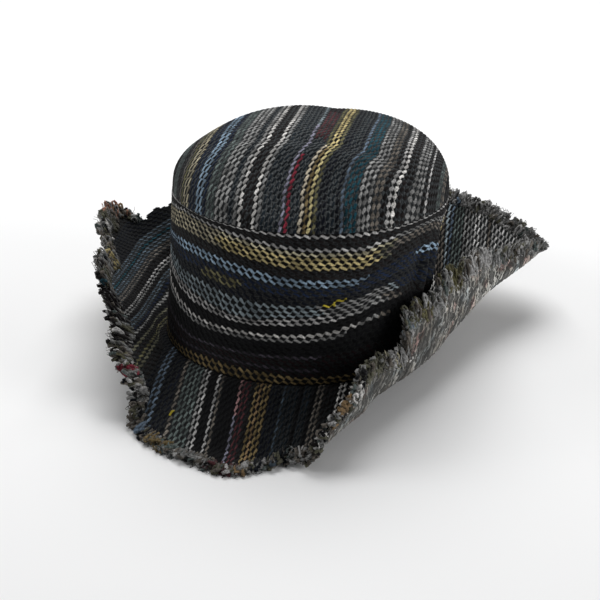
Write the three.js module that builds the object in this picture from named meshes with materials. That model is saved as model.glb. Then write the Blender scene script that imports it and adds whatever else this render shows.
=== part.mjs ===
// Summer hat of heavy hand-woven cloth with a raw, frayed brim.
// Millimetres, +Z up, the front of the hat towards -Y.
//
// The cloth is worked out in the hat's own upright frame: its zero is the middle of the
// crown's lower seam. settle() then lets the hat down onto the floor, a little tipped back,
// so that it rests on the back of that seam and on the front of the brim.

import * as THREE from "three";

const CLOTH = 2.2; // thickness of the cloth
const GAP = 0.3; // clearance between two sewn pieces
const FRAY = 9; // width of the frayed edge outside the brim

// Half widths are to the middle of the cloth; lean is how far the top sits from the base.
const CROWN = { baseX: 87, baseY: 90, topX: 88, topY: 91, height: 98, leanX: 6, leanY: 2 };

// The top panel: how high it swells, how square its shoulder is, and where its middle sits.
const TIP = { rise: 43, plan: 3, profile: 2.2, shiftX: 7 };

// The top panel's front is pressed flat from the seam back to a soft crease.
const PRESS = { direction: -95, slope: 38, blend: 5 };

// Shallow creases across the top panel: distance is from its middle, along direction.
const TIP_CREASES = [
  { direction: -95, distance: 36, spread: 7, depth: 2.2 },
  { direction: 50, distance: 52, spread: 12, depth: 2.5 },
  { direction: 165, distance: 78, spread: 20, depth: 9 },
];

// Soft dents (out below zero) and bulges of the band, by direction and share of its height.
const BAND_FOLDS = [
  { direction: 12, spread: 24, level: 0.5, reach: 0.34, out: -8 },
  { direction: -16, spread: 6, level: 0.6, reach: 0.3, out: 3.5 },
  { direction: -27, spread: 6, level: 0.6, reach: 0.35, out: -3 },
  { direction: -120, spread: 16, level: 0.35, reach: 0.2, out: -2 },
  { direction: -70, spread: 24, level: 0.72, reach: 0.22, out: 2 },
  { direction: 95, spread: 26, level: 0.45, reach: 0.3, out: -4 },
  { direction: 175, spread: 18, level: 0.5, reach: 0.28, out: -3 },
];

// The brim by direction: its width over the cloth, and its slope as it leaves the seam.
const BRIM = [
  { direction: -120, width: 68, slope: -25 },
  { direction: -100, width: 79, slope: -26 },
  { direction: -82, width: 69, slope: -26 },
  { direction: -62, width: 67, slope: -20 },
  { direction: -52, width: 59, slope: -7 },
  { direction: -42, width: 46, slope: 2.5 },
  { direction: -31, width: 59, slope: 17.5 },
  { direction: -22, width: 58, slope: 24 },
  { direction: -12, width: 68, slope: 34 },
  { direction: 6, width: 82, slope: 38 },
  { direction: 27, width: 106, slope: 27 },
  { direction: 50, width: 94, slope: 47 },
  { direction: 90, width: 80, slope: 28 },
  { direction: 136, width: 68, slope: 16 },
  { direction: 165, width: 80, slope: -2 },
  { direction: 190, width: 79, slope: 0 },
  { direction: 215, width: 70, slope: -10 },
];
const BRIM_LEVEL = 2.5; // the brim leaves the seam level for this far
const BRIM_HINGE = 6; // and takes up its slope over this length

// Waves of the brim: lift is at the raw edge.
const RIPPLES = [
  { direction: -97, spread: 9, lift: -5 },
  { direction: -74, spread: 8, lift: 5 },
  { direction: 70, spread: 12, lift: 4 },
  { direction: 112, spread: 14, lift: -6 },
  { direction: 158, spread: 5, lift: -7 },
  { direction: 144, spread: 6, lift: 5 },
  { direction: 199, spread: 7, lift: 5 },
  { direction: 214, spread: 6, lift: -4 },
];

// The two sides of the brim are turned up about straight lines: distance is from the crown's
// middle along direction, height above the seam there, climb the line's own slope.
const TURN_UPS = [
  { direction: -31, distance: 95, radius: 7, angle: 84, height: 7, climb: 13.5 },
  { direction: 184, distance: 82, radius: 9, angle: 58, height: 0, climb: -12 },
];
const TURN_CLEARANCE = 4; // a turned-up side starts at least this far outside the seam

// The first turned-up side is pushed in towards the crown along the back half of its fold:
// distance and reach are measured outwards from the fold's line.
const PUSH = { direction: -8, spread: 20, distance: 3, reach: 13, inward: 7, upward: 2.1, start: 10 };

// Tufts that stand out of the frayed edge.
const TUFTS = [
  { direction: 168, spread: 4, reach: 10, swell: 1.6 },
  { direction: 236, spread: 3, reach: 4, swell: 0.6 },
  { direction: 27, spread: 4, reach: 3, swell: 0.3 },
];

// How the hat stands: tipped back, lifted, and moved so that its box is centred.
const STAND = { pitch: 6.2, lift: 10.5, shiftX: -8.8, shiftY: -0.6, soften: 1.5 };

// Facets: columns round the crown, and spans of columns round the brim.
const CROWN_COLUMNS = 72;
const TIP_RINGS = 8;
const BAND_RINGS = 6;
const BRIM_RINGS = 7; // beyond the hinge, which has two of its own
const BRIM_SPANS = [
  { from: -80, to: -50, count: 12 },
  { from: -50, to: 12, count: 18 },
  { from: 12, to: 42, count: 16 },
  { from: 42, to: 280, count: 62 },
];

const RAD = Math.PI / 180;

const clamp = (value, low, high) => Math.min(Math.max(value, low), high);

// Turns any angle in degrees into one between -180 and 180.
function wrap(degrees) {
  return ((((degrees + 180) % 360) + 360) % 360) - 180;
}

const bell = (offset, spread) => Math.exp(-((offset / spread) ** 2));

const ease = (share) => share * share * (3 - 2 * share);

// Reads a column of a table that goes once round the hat, eased from row to row.
function around(rows, degrees, column) {
  for (let i = 0; i < rows.length; i += 1) {
    const here = rows[i];
    const next = rows[(i + 1) % rows.length];
    const span = (next.direction - here.direction + 360) % 360;
    const along = (((degrees - here.direction) % 360) + 360) % 360;
    if (along <= span) {
      const share = ease(along / span);
      return here[column] * (1 - share) + next[column] * share;
    }
  }
  return rows[0][column];
}

// The smaller of two heights, with the corner between them rounded.
function softMin(a, b, blend) {
  const share = clamp(0.5 + (b - a) / (2 * blend), 0, 1);
  return b * (1 - share) + a * share - blend * share * (1 - share);
}

// A height that never goes below zero, with a soft bend just above it.
function softFloor(height) {
  const soften = STAND.soften;
  if (height > soften) {
    return height;
  }
  return height < -soften ? 0 : (height + soften) ** 2 / (4 * soften);
}

// Lets a point of the upright hat down onto the floor; low is the least height it may have.
function settle(point, low) {
  const tip = STAND.pitch * RAD;
  const y = point.y * Math.cos(tip) + point.z * Math.sin(tip);
  const z = point.z * Math.cos(tip) - point.y * Math.sin(tip) + STAND.lift;
  return new THREE.Vector3(point.x + STAND.shiftX, y + STAND.shiftY, low + softFloor(z - low));
}

// A point of the crown's wall: down is 0 at the upper seam and 1 at the lower one.
function bandPoint(degrees, down) {
  const up = 1 - down;
  const angle = degrees * RAD;
  let out = 0;
  for (const fold of BAND_FOLDS) {
    const near = bell(wrap(degrees - fold.direction), fold.spread);
    const edge = Math.sin(Math.PI * up) ** 0.5;
    out += fold.out * near * bell(up - fold.level, fold.reach) * (edge || 0);
  }
  const halfX = CROWN.baseX * down + CROWN.topX * up + out;
  const halfY = CROWN.baseY * down + CROWN.topY * up + out;
  return new THREE.Vector3(
    halfX * Math.cos(angle) + CROWN.leanX * up,
    halfY * Math.sin(angle) + CROWN.leanY * up,
    CROWN.height * up,
  );
}

// A point of the top panel: share is 0 at its middle and 1 at the seam.
function tipPoint(degrees, share) {
  const angle = degrees * RAD;
  const x = CROWN.leanX + TIP.shiftX * (1 - share ** 2) + CROWN.topX * share * Math.cos(angle);
  const y = CROWN.leanY + CROWN.topY * share * Math.sin(angle);
  const swell = TIP.rise * Math.max(1 - share ** TIP.plan, 0) ** (1 / TIP.profile);
  const pressX = Math.cos(PRESS.direction * RAD);
  const pressY = Math.sin(PRESS.direction * RAD);
  const edge = Math.hypot(CROWN.topX * pressX, CROWN.topY * pressY);
  const inward = edge - ((x - CROWN.leanX) * pressX + (y - CROWN.leanY) * pressY);
  const pressed = inward * Math.tan(PRESS.slope * RAD) + PRESS.blend;
  let z = share < 1 ? softMin(swell, pressed, PRESS.blend) : 0;
  for (const crease of TIP_CREASES) {
    const across = x * Math.cos(crease.direction * RAD) + y * Math.sin(crease.direction * RAD);
    z -= crease.depth * bell(across - crease.distance, crease.spread) * (1 - share ** 4);
  }
  return new THREE.Vector3(x, y, CROWN.height + Math.max(z, 0));
}

const acrossFold = (turn) => new THREE.Vector3(Math.cos(turn.direction * RAD), Math.sin(turn.direction * RAD), 0);

// How far from the crown's middle a side starts to turn up.
function foldDistance(seamX, seamY, turn) {
  const across = acrossFold(turn);
  return Math.max(turn.distance, seamX * across.x + seamY * across.y + TURN_CLEARANCE);
}

// Turns the cloth beyond a straight line up about that line.
function turnUp(point, seamX, seamY, turn) {
  const across = acrossFold(turn);
  const level = new THREE.Vector3(-across.y, across.x, 0);
  const climb = turn.climb * RAD;
  const along = level.clone().multiplyScalar(Math.cos(climb));
  along.z = Math.sin(climb);
  const above = new THREE.Vector3().crossVectors(across, along);
  const start = across.clone().multiplyScalar(foldDistance(seamX, seamY, turn));
  start.z = turn.height;
  const local = point.clone().sub(start);
  const beyond = local.dot(across);
  const height = local.dot(above);
  if (beyond <= 0) {
    return point;
  }
  const full = turn.angle * RAD;
  const bent = Math.min(beyond / turn.radius, full);
  const rest = Math.max(beyond - turn.radius * full, 0);
  const outward = turn.radius * Math.sin(bent) + rest * Math.cos(bent) - height * Math.sin(bent);
  const upward = turn.radius * (1 - Math.cos(bent)) + rest * Math.sin(bent) + height * Math.cos(bent);
  return start
    .addScaledVector(across, outward)
    .addScaledVector(above, upward)
    .addScaledVector(along, local.dot(along));
}

const brimWidth = (degrees) => around(BRIM, degrees, "width");

// A point of the brim, so far out from the seam over the cloth.
function brimPoint(degrees, out) {
  const angle = degrees * RAD;
  const seamX = CROWN.baseX * Math.cos(angle);
  const seamY = CROWN.baseY * Math.sin(angle);
  const away = new THREE.Vector3(seamX / CROWN.baseX ** 2, seamY / CROWN.baseY ** 2, 0).normalize();
  const slope = around(BRIM, degrees, "slope") * RAD;
  const hinge = clamp(out - BRIM_LEVEL, 0, BRIM_HINGE);
  const bent = (slope * hinge) / BRIM_HINGE;
  const rest = Math.max(out - BRIM_LEVEL - BRIM_HINGE, 0);
  const run = Math.min(out, BRIM_LEVEL) + hinge * Math.cos(bent / 2) + rest * Math.cos(slope);
  let rise = hinge * Math.sin(bent / 2) + rest * Math.sin(slope);
  for (const ripple of RIPPLES) {
    const share = Math.max(out, 0) / brimWidth(degrees);
    rise += ripple.lift * share ** 2 * bell(wrap(degrees - ripple.direction), ripple.spread);
  }
  let point = new THREE.Vector3(seamX + away.x * run, seamY + away.y * run, rise - CLOTH / 2 - GAP);
  const inward = acrossFold(TURN_UPS[0]);
  const beyond = point.dot(inward) - foldDistance(seamX, seamY, TURN_UPS[0]);
  const push =
    bell(wrap(degrees - PUSH.direction), PUSH.spread) *
    bell(beyond - PUSH.distance, PUSH.reach) *
    ease(clamp(out / PUSH.start, 0, 1));
  for (const turn of TURN_UPS) {
    point = turnUp(point, seamX, seamY, turn);
  }
  point.addScaledVector(inward, -PUSH.inward * push);
  point.z += PUSH.upward * push;
  return point;
}

// The normal of a surface at one place, found from its neighbours.
function normalAt(surface, degrees, out, step) {
  const towards = surface(degrees, out + step).sub(surface(degrees, out - step));
  const round = surface(degrees + 0.4, out).sub(surface(degrees - 0.4, out));
  return towards.cross(round).normalize();
}

// A closed ring of cloth from two grids of points, rows going outwards and columns round.
function ringOfCloth(name, color, upper, lower, pole) {
  const rows = upper.length;
  const columns = upper[rows - 1].length;
  const vertices = [];
  const put = (grid) => grid.map((row) => row.map((point) => vertices.push(point) - 1));
  const top = put(upper);
  const bottom = put(lower);
  const faces = [];
  const quad = (a, b, c, d) => faces.push(a, b, c, a, c, d);
  for (let j = 0; j < columns; j += 1) {
    const k = (j + 1) % columns;
    for (let i = 0; i + 1 < rows; i += 1) {
      if (pole && i === 0) {
        faces.push(top[0][0], top[1][j], top[1][k], bottom[0][0], bottom[1][k], bottom[1][j]);
      } else {
        quad(top[i][j], top[i + 1][j], top[i + 1][k], top[i][k]);
        quad(bottom[i][k], bottom[i + 1][k], bottom[i + 1][j], bottom[i][j]);
      }
    }
    if (!pole) {
      quad(top[0][j], top[0][k], bottom[0][k], bottom[0][j]);
    }
    quad(top[rows - 1][k], top[rows - 1][j], bottom[rows - 1][j], bottom[rows - 1][k]);
  }
  const geometry = new THREE.BufferGeometry();
  const flat = vertices.flatMap((point) => [point.x, point.y, point.z]);
  geometry.setAttribute("position", new THREE.Float32BufferAttribute(flat, 3));
  geometry.setIndex(faces);
  geometry.computeVertexNormals();
  const mesh = new THREE.Mesh(geometry, new THREE.MeshStandardMaterial({ color, roughness: 0.95 }));
  mesh.name = name;
  return mesh;
}

const crownDirections = Array.from({ length: CROWN_COLUMNS }, (_, j) => (j * 360) / CROWN_COLUMNS);

// The domed top panel; its rim stands square on the band's upper edge.
function buildTip() {
  const upper = [];
  const lower = [];
  for (let i = 0; i <= TIP_RINGS; i += 1) {
    const share = i === 0 ? 0 : Math.sin((i / TIP_RINGS) * 90 * RAD) ** 0.8;
    const directions = i === 0 ? [0] : crownDirections;
    const rim = i === TIP_RINGS;
    const sides = directions.map((degrees) => {
      const middle = tipPoint(degrees, share);
      middle.z = Math.max(middle.z, CROWN.height + GAP);
      const normal = rim
        ? new THREE.Vector3(Math.cos(degrees * RAD), Math.sin(degrees * RAD), 0)
        : normalAt(tipPoint, degrees, Math.max(share, 0.05), 0.01);
      if (i === 0) {
        normal.set(0, 0, 1);
      }
      return [1, -1].map((side) => {
        const point = middle.clone().addScaledVector(normal, (side * CLOTH) / 2);
        point.z = Math.max(point.z, CROWN.height + GAP);
        return settle(point, 0);
      });
    });
    upper.push(sides.map((pair) => pair[0]));
    lower.push(sides.map((pair) => pair[1]));
  }
  return ringOfCloth("crown_tip", 0x8c8c86, upper, lower, true);
}

// The crown's wall, between the top panel and the brim.
function buildBand() {
  const upper = [];
  const lower = [];
  for (let i = 0; i <= BAND_RINGS; i += 1) {
    const sides = crownDirections.map((degrees) => {
      const middle = bandPoint(degrees, i / BAND_RINGS);
      const normal = new THREE.Vector3(Math.cos(degrees * RAD), Math.sin(degrees * RAD), 0);
      return [1, -1].map((side) => {
        const point = middle.clone().addScaledVector(normal, (side * CLOTH) / 2);
        return settle(point, CLOTH + GAP);
      });
    });
    upper.push(sides.map((pair) => pair[0]));
    lower.push(sides.map((pair) => pair[1]));
  }
  return ringOfCloth("crown_band", 0x6f6a60, upper, lower, false);
}

const brimDirections = BRIM_SPANS.flatMap(({ from, to, count }) =>
  Array.from({ length: count }, (_, j) => from + ((to - from) * j) / count),
);

const settledBrim = (degrees, out) => settle(brimPoint(degrees, out), CLOTH / 2);

// Both faces of the brim's cloth at one place, the lower one never under the floor.
function brimSides(degrees, out, thickness) {
  const middle = settledBrim(degrees, out);
  const normal = normalAt(settledBrim, degrees, out, 0.6);
  return [1, -1].map((side) => {
    const point = middle.clone().addScaledVector(normal, (side * thickness) / 2);
    point.z = Math.max(point.z, side < 0 ? 0 : thickness * 0.9);
    return point;
  });
}

// The brim, from under the band's lower edge to where its yarns are left loose.
function buildBrim() {
  const upper = [];
  const lower = [];
  const hingeEnd = BRIM_LEVEL + BRIM_HINGE;
  const rings = [-CLOTH / 2, BRIM_LEVEL, BRIM_LEVEL + BRIM_HINGE / 2].map((out) => () => out);
  for (let i = 0; i <= BRIM_RINGS; i += 1) {
    rings.push((width) => hingeEnd + ((width - FRAY - hingeEnd) * i) / BRIM_RINGS);
  }
  for (const ring of rings) {
    const sides = brimDirections.map((degrees) => brimSides(degrees, ring(brimWidth(degrees)), CLOTH));
    upper.push(sides.map((pair) => pair[0]));
    lower.push(sides.map((pair) => pair[1]));
  }
  return ringOfCloth("brim", 0x55565a, upper, lower, false);
}

// How far a lock of the frayed edge reaches, and how thick it is, by its number.
function lockSize(number, degrees) {
  let reach = 1.2 * Math.sin(number * 2.4) + 1.2 * Math.sin(number * 1.1 + 1);
  let swell = 0.3 * Math.sin(number * 1.7);
  for (const tuft of TUFTS) {
    const near = bell(wrap(degrees - tuft.direction), tuft.spread);
    reach += tuft.reach * near;
    swell += tuft.swell * near;
  }
  return { reach, swell };
}

// The raw edge: locks of loose yarn on a strip that runs on from the brim.
function buildFrayedEdge() {
  const count = brimDirections.length;
  const upper = [[], [], []];
  const lower = [[], [], []];
  const add = (row, pair) => {
    upper[row].push(pair[0]);
    lower[row].push(pair[1]);
  };
  for (let j = 0; j < count; j += 1) {
    const here = brimDirections[j];
    const next = here + (((brimDirections[(j + 1) % count] - here) % 360) + 360) % 360;
    const between = (here + next) / 2;
    const start = (degrees) => brimSides(degrees, brimWidth(degrees) - FRAY + 2 * GAP, CLOTH);
    const lock = lockSize(j, between);
    const first = start(here);
    const second = start(next);
    const across = first.map((point, side) => point.clone().lerp(second[side], 0.5));
    add(0, first);
    add(1, brimSides(here, brimWidth(here) - FRAY * 0.55, CLOTH));
    add(2, brimSides(here, brimWidth(here) - 3, CLOTH * 0.7));
    add(0, across);
    add(1, brimSides(between, brimWidth(between) - FRAY * 0.45, CLOTH + 1.4 + lock.swell));
    add(2, brimSides(between, brimWidth(between) + lock.reach, CLOTH * 0.8 + lock.swell));
  }
  return ringOfCloth("frayed_edge", 0x8a8678, upper, lower, false);
}

const hat = new THREE.Group();
hat.name = "summer_hat";
hat.add(buildTip(), buildBand(), buildBrim(), buildFrayedEdge());

export default hat;
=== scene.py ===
"""Summer hat of heavy hand-woven striped cloth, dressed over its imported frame.

Sizes are in millimetres, as in the part's source, and become metres when a mesh is made.
The cloth is worked out in the hat's own upright frame, whose zero is the middle of the
crown's lower seam, and is then let down onto the floor. Every cloth is a grid that follows
its own yarns, so the relief of the weave and the stripes run where the real rows run.
"""

import logging
import math
from dataclasses import dataclass, field
from enum import Enum

import bmesh
import bpy
import numpy as np
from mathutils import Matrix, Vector


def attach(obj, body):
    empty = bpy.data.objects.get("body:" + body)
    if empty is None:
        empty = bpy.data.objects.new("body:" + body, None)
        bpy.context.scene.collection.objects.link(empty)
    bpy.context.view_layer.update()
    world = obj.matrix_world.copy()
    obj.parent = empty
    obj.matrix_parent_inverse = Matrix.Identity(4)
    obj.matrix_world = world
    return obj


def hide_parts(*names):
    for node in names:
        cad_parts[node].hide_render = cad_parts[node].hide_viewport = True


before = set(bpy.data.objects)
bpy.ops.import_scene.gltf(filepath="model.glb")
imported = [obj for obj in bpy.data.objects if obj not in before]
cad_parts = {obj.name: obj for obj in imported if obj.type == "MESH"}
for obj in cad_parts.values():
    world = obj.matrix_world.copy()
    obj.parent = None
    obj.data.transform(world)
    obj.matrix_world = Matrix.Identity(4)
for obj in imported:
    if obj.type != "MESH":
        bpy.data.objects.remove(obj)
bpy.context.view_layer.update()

LOG = logging.getLogger("hat")
MM = 0.001
RAD = math.pi / 180
TINY = 1e-9  # keeps divisors off zero
NUDGE = 1e-6  # keeps rounded places on the right side of a whole number
MERGE = 1e-6  # cloth points nearer than this, in metres, become one
NOISE = (0.3, 0.7)  # nearly all of a noise lies between these
YARN_MAP = "yarn"  # UV map: floats along a row, then rows across the cloth
FLAT_MAP = "flat"  # UV map: place on the flat cloth in centimetres
TINT = "yarn_tint"  # colour attribute: the yarn's colour, and how pale the cross threads are

Array = np.ndarray
Rows = tuple[tuple[float, ...], ...]
Colour = tuple[float, float, float]
Groups = dict[str, bpy.types.NodeTree]


# Small curves and helpers that several sub-assemblies use

def wrap(degrees: Array) -> Array:
    """Turns any angles in degrees into angles between -180 and 180."""
    return (degrees + 180) % 360 - 180


def bell(offset: Array, spread: float) -> Array:
    """A soft bump of height 1, as wide as spread."""
    return np.exp(-((offset / spread) ** 2))


def ease(value: Array) -> Array:
    """Goes softly from 0 to 1 as value does."""
    share = np.clip(value, 0, 1)
    return share * share * (3 - 2 * share)


def around(rows: Rows, degrees: Array, column: int) -> Array:
    """Reads a column of a table that goes once round the hat.

    Args:
        rows: The table, whose first column is the direction in degrees, rising.
        degrees: Directions to read at.
        column: Number of the column.

    Returns:
        The eased value at each direction.
    """
    angles = np.array([row[0] for row in rows] + [rows[0][0] + 360], float)
    values = np.array([row[column] for row in rows] + [rows[0][column]], float)
    turned = (degrees - angles[0]) % 360 + angles[0]
    here = np.clip(np.searchsorted(angles, turned, side="right") - 1, 0, len(rows) - 1)
    share = ease((turned - angles[here]) / (angles[here + 1] - angles[here]))
    return values[here] * (1 - share) + values[here + 1] * share


def soft_min(first: Array, second: Array, blend: float) -> Array:
    """The smaller of two heights, with the corner between them rounded."""
    share = np.clip(0.5 + (second - first) / (2 * blend), 0, 1)
    return second * (1 - share) + first * share - blend * share * (1 - share)


def unit(vectors: Array) -> Array:
    """Vectors of length 1 along the given ones."""
    return vectors / np.maximum(np.linalg.norm(vectors, axis=-1, keepdims=True), TINY)


def cells_of(rows: Array, place: Array) -> tuple[Array, Array]:
    """The row number and the middle place of each cell between a grid's corners."""
    middle = (place[:-1, :-1] + place[1:, :-1] + place[:-1, 1:] + place[1:, 1:]) / 4
    return rows[:-1, :-1], middle


@dataclass(frozen=True)
class Slide:
    """A value that goes softly from 0 to its reach, from a start over a length."""

    start: float
    length: float
    reach: float

    def at(self, place: Array) -> Array:
        """The value at a place."""
        return self.reach * ease((place - self.start) / self.length)


# The yarns and the stripes that they make

@dataclass(frozen=True)
class Dye:
    """A yarn's colour, from 0 to 255, and how pale the threads that cross it look."""

    red: int
    green: int
    blue: int
    cross: float = 0.05

    def linear(self) -> tuple[float, float, float, float]:
        """The colour in linear light, with the paleness of the cross threads as its fourth part."""
        tint = [((part / 255 + 0.055) / 1.055) ** 2.4 for part in (self.red, self.green, self.blue)]
        return (tint[0], tint[1], tint[2], self.cross)


class Yarn(Enum):
    """The yarns of the cloth."""

    WHITE = Dye(176, 174, 171, 0.03)
    PALE_GREY = Dye(142, 141, 140, 0.06)
    GREY = Dye(112, 112, 111, 0.14)
    WORN_PALE_GREY = Dye(164, 163, 162, 0.45)
    WORN_GREY = Dye(138, 138, 137, 0.5)
    WORN_SLATE = Dye(72, 84, 94, 0.9)
    WORN_BROWN = Dye(92, 87, 82, 0.9)
    GREY_BROWN = Dye(88, 83, 77, 0.20)
    OLIVE_GREY = Dye(78, 77, 64, 0.15)
    GREEN_GREY = Dye(74, 82, 80, 0.30)
    SLATE = Dye(76, 88, 101, 0.25)
    DIM_SLATE = Dye(54, 64, 73, 0.35)
    PALE_BLUE = Dye(112, 122, 128, 0.15)
    LIGHT_BLUE = Dye(106, 123, 138, 0.04)
    DIM_BLUE = Dye(98, 107, 111, 0.06)
    NAVY = Dye(18, 27, 44, 0.30)
    NAVY_BLACK = Dye(9, 12, 19, 0.30)
    TEAL = Dye(24, 58, 68, 0.30)
    DARK_SLATE = Dye(16, 22, 27, 0.45)
    LAVENDER = Dye(104, 103, 116, 0.20)
    FAINT_MAUVE = Dye(54, 50, 57, 0.15)
    RED = Dye(104, 34, 46, 0.10)
    MAROON = Dye(62, 34, 37, 0.25)
    MAROON_BLACK = Dye(24, 14, 16, 0.16)
    BLACK_BROWN = Dye(19, 16, 16, 0.26)
    BLACK = Dye(8, 8, 10, 0.08)
    CREAM = Dye(160, 154, 130, 0.03)
    PALE_CREAM = Dye(164, 155, 138, 0.03)
    GOLD = Dye(160, 147, 105, 0.02)
    BRIGHT_GOLD = Dye(160, 149, 108, 0.03)
    DULL_GOLD = Dye(103, 89, 61, 0.06)
    OLIVE = Dye(86, 83, 60, 0.20)
    DRAB = Dye(128, 122, 104, 0.06)
    PINK_BROWN = Dye(132, 98, 82, 0.05)
    ORANGE_BROWN = Dye(114, 94, 68, 0.05)
    ROSE = Dye(128, 98, 98, 0.05)
    YELLOW = Dye(150, 136, 44, 0.02)


@dataclass(frozen=True)
class Patch:
    """A place where some rows of a cloth have another colour, with ends that stray from row to row."""

    yarn: Yarn
    first_row: int
    last_row: int
    start: float
    end: float
    stray: float = 2.5
    beat: float = 2.4

    def paint(self, tints: Array, rows: Array, place: Array) -> None:
        """Colours the cells that lie in the patch.

        Args:
            tints: Tints of the cloth's cells, changed in place.
            rows: Row number of each cell.
            place: Where each cell lies along its row.
        """
        ragged = place + self.stray * np.sin(rows * self.beat)
        inside = (rows >= self.first_row) & (rows <= self.last_row) & (ragged > self.start) & (ragged < self.end)
        tints[inside] = self.yarn.value.linear()


@dataclass(frozen=True)
class Chart:
    """The stripes of one cloth, as pairs of a yarn and how many rows it runs for."""

    stripes: tuple[tuple[Yarn, int], ...]
    seed: int
    uneven: tuple[float, float] = (0.86, 1.14)  # how dark and how light a row may turn out

    def tints(self, rows: Array) -> Array:
        """The tint of each row of the cloth.

        Args:
            rows: Row numbers; what lies outside the chart takes its first or last row.

        Returns:
            Tints in linear light, with the paleness of the cross threads as the fourth part.
        """
        table = np.array([yarn.value.linear() for yarn, count in self.stripes for _ in range(count)])
        chance = np.random.default_rng(self.seed)
        table[:, :3] *= chance.uniform(*self.uneven, (len(table), 1))
        return table[np.clip(rows, 0, len(table) - 1).astype(int)]

    def painted(self, across: Array, place: Array, patches: tuple[Patch, ...], turning: bool = False) -> Array:
        """The tint of each cell of a cloth, patches included.

        Args:
            across: Place of the grid's points across the rows, in rows.
            place: Place of the grid's points along the rows.
            patches: Where the cloth has other colours.
            turning: Whether place is an angle in degrees.

        Returns:
            The tints of the cells.
        """
        rows, middle = cells_of(np.floor(across), place)
        tints = self.tints(rows)
        for patch in patches:
            patch.paint(tints, rows, wrap(middle) if turning else middle)
        return tints


TIP_CHART = Chart((
    (Yarn.GREY_BROWN, 3), (Yarn.BLACK_BROWN, 4), (Yarn.GREEN_GREY, 3), (Yarn.BLACK_BROWN, 2),
    (Yarn.GREY_BROWN, 1), (Yarn.OLIVE, 1), (Yarn.DRAB, 2), (Yarn.NAVY, 2), (Yarn.LIGHT_BLUE, 2), (Yarn.NAVY, 1),
    (Yarn.GREEN_GREY, 2), (Yarn.GREY, 3), (Yarn.DARK_SLATE, 1), (Yarn.GREY, 1), (Yarn.WHITE, 1), (Yarn.BLACK_BROWN, 2),
    (Yarn.WHITE, 1), (Yarn.GREY, 1), (Yarn.DARK_SLATE, 4), (Yarn.LAVENDER, 1), (Yarn.RED, 1), (Yarn.DARK_SLATE, 2),
    (Yarn.PALE_CREAM, 1), (Yarn.DULL_GOLD, 1), (Yarn.BRIGHT_GOLD, 1), (Yarn.OLIVE, 1),
    (Yarn.NAVY_BLACK, 2), (Yarn.DARK_SLATE, 2), (Yarn.NAVY_BLACK, 1), (Yarn.SLATE, 1), (Yarn.TEAL, 3),
    (Yarn.GREY, 3), (Yarn.GREY_BROWN, 2), (Yarn.BLACK_BROWN, 1), (Yarn.PALE_GREY, 1), (Yarn.WHITE, 1),
    (Yarn.BLACK_BROWN, 2), (Yarn.GREY, 3), (Yarn.BLACK_BROWN, 1), (Yarn.PALE_GREY, 1),
    (Yarn.BLACK_BROWN, 4), (Yarn.GREEN_GREY, 2), (Yarn.GREY_BROWN, 2), (Yarn.BLACK, 3),
), 3)

BAND_CHART = Chart((
    (Yarn.PALE_GREY, 1), (Yarn.BLACK_BROWN, 2), (Yarn.PALE_GREY, 1), (Yarn.CREAM, 1), (Yarn.GOLD, 3),
    (Yarn.BLACK_BROWN, 2), (Yarn.LIGHT_BLUE, 2), (Yarn.NAVY, 2), (Yarn.NAVY_BLACK, 2),
    (Yarn.DIM_BLUE, 3), (Yarn.PALE_GREY, 2), (Yarn.BLACK, 2), (Yarn.WHITE, 1), (Yarn.BLACK, 1),
    (Yarn.BLACK, 3), (Yarn.FAINT_MAUVE, 1), (Yarn.MAROON_BLACK, 2), (Yarn.FAINT_MAUVE, 1), (Yarn.MAROON_BLACK, 1),
    (Yarn.DULL_GOLD, 3),
), 5)

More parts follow.
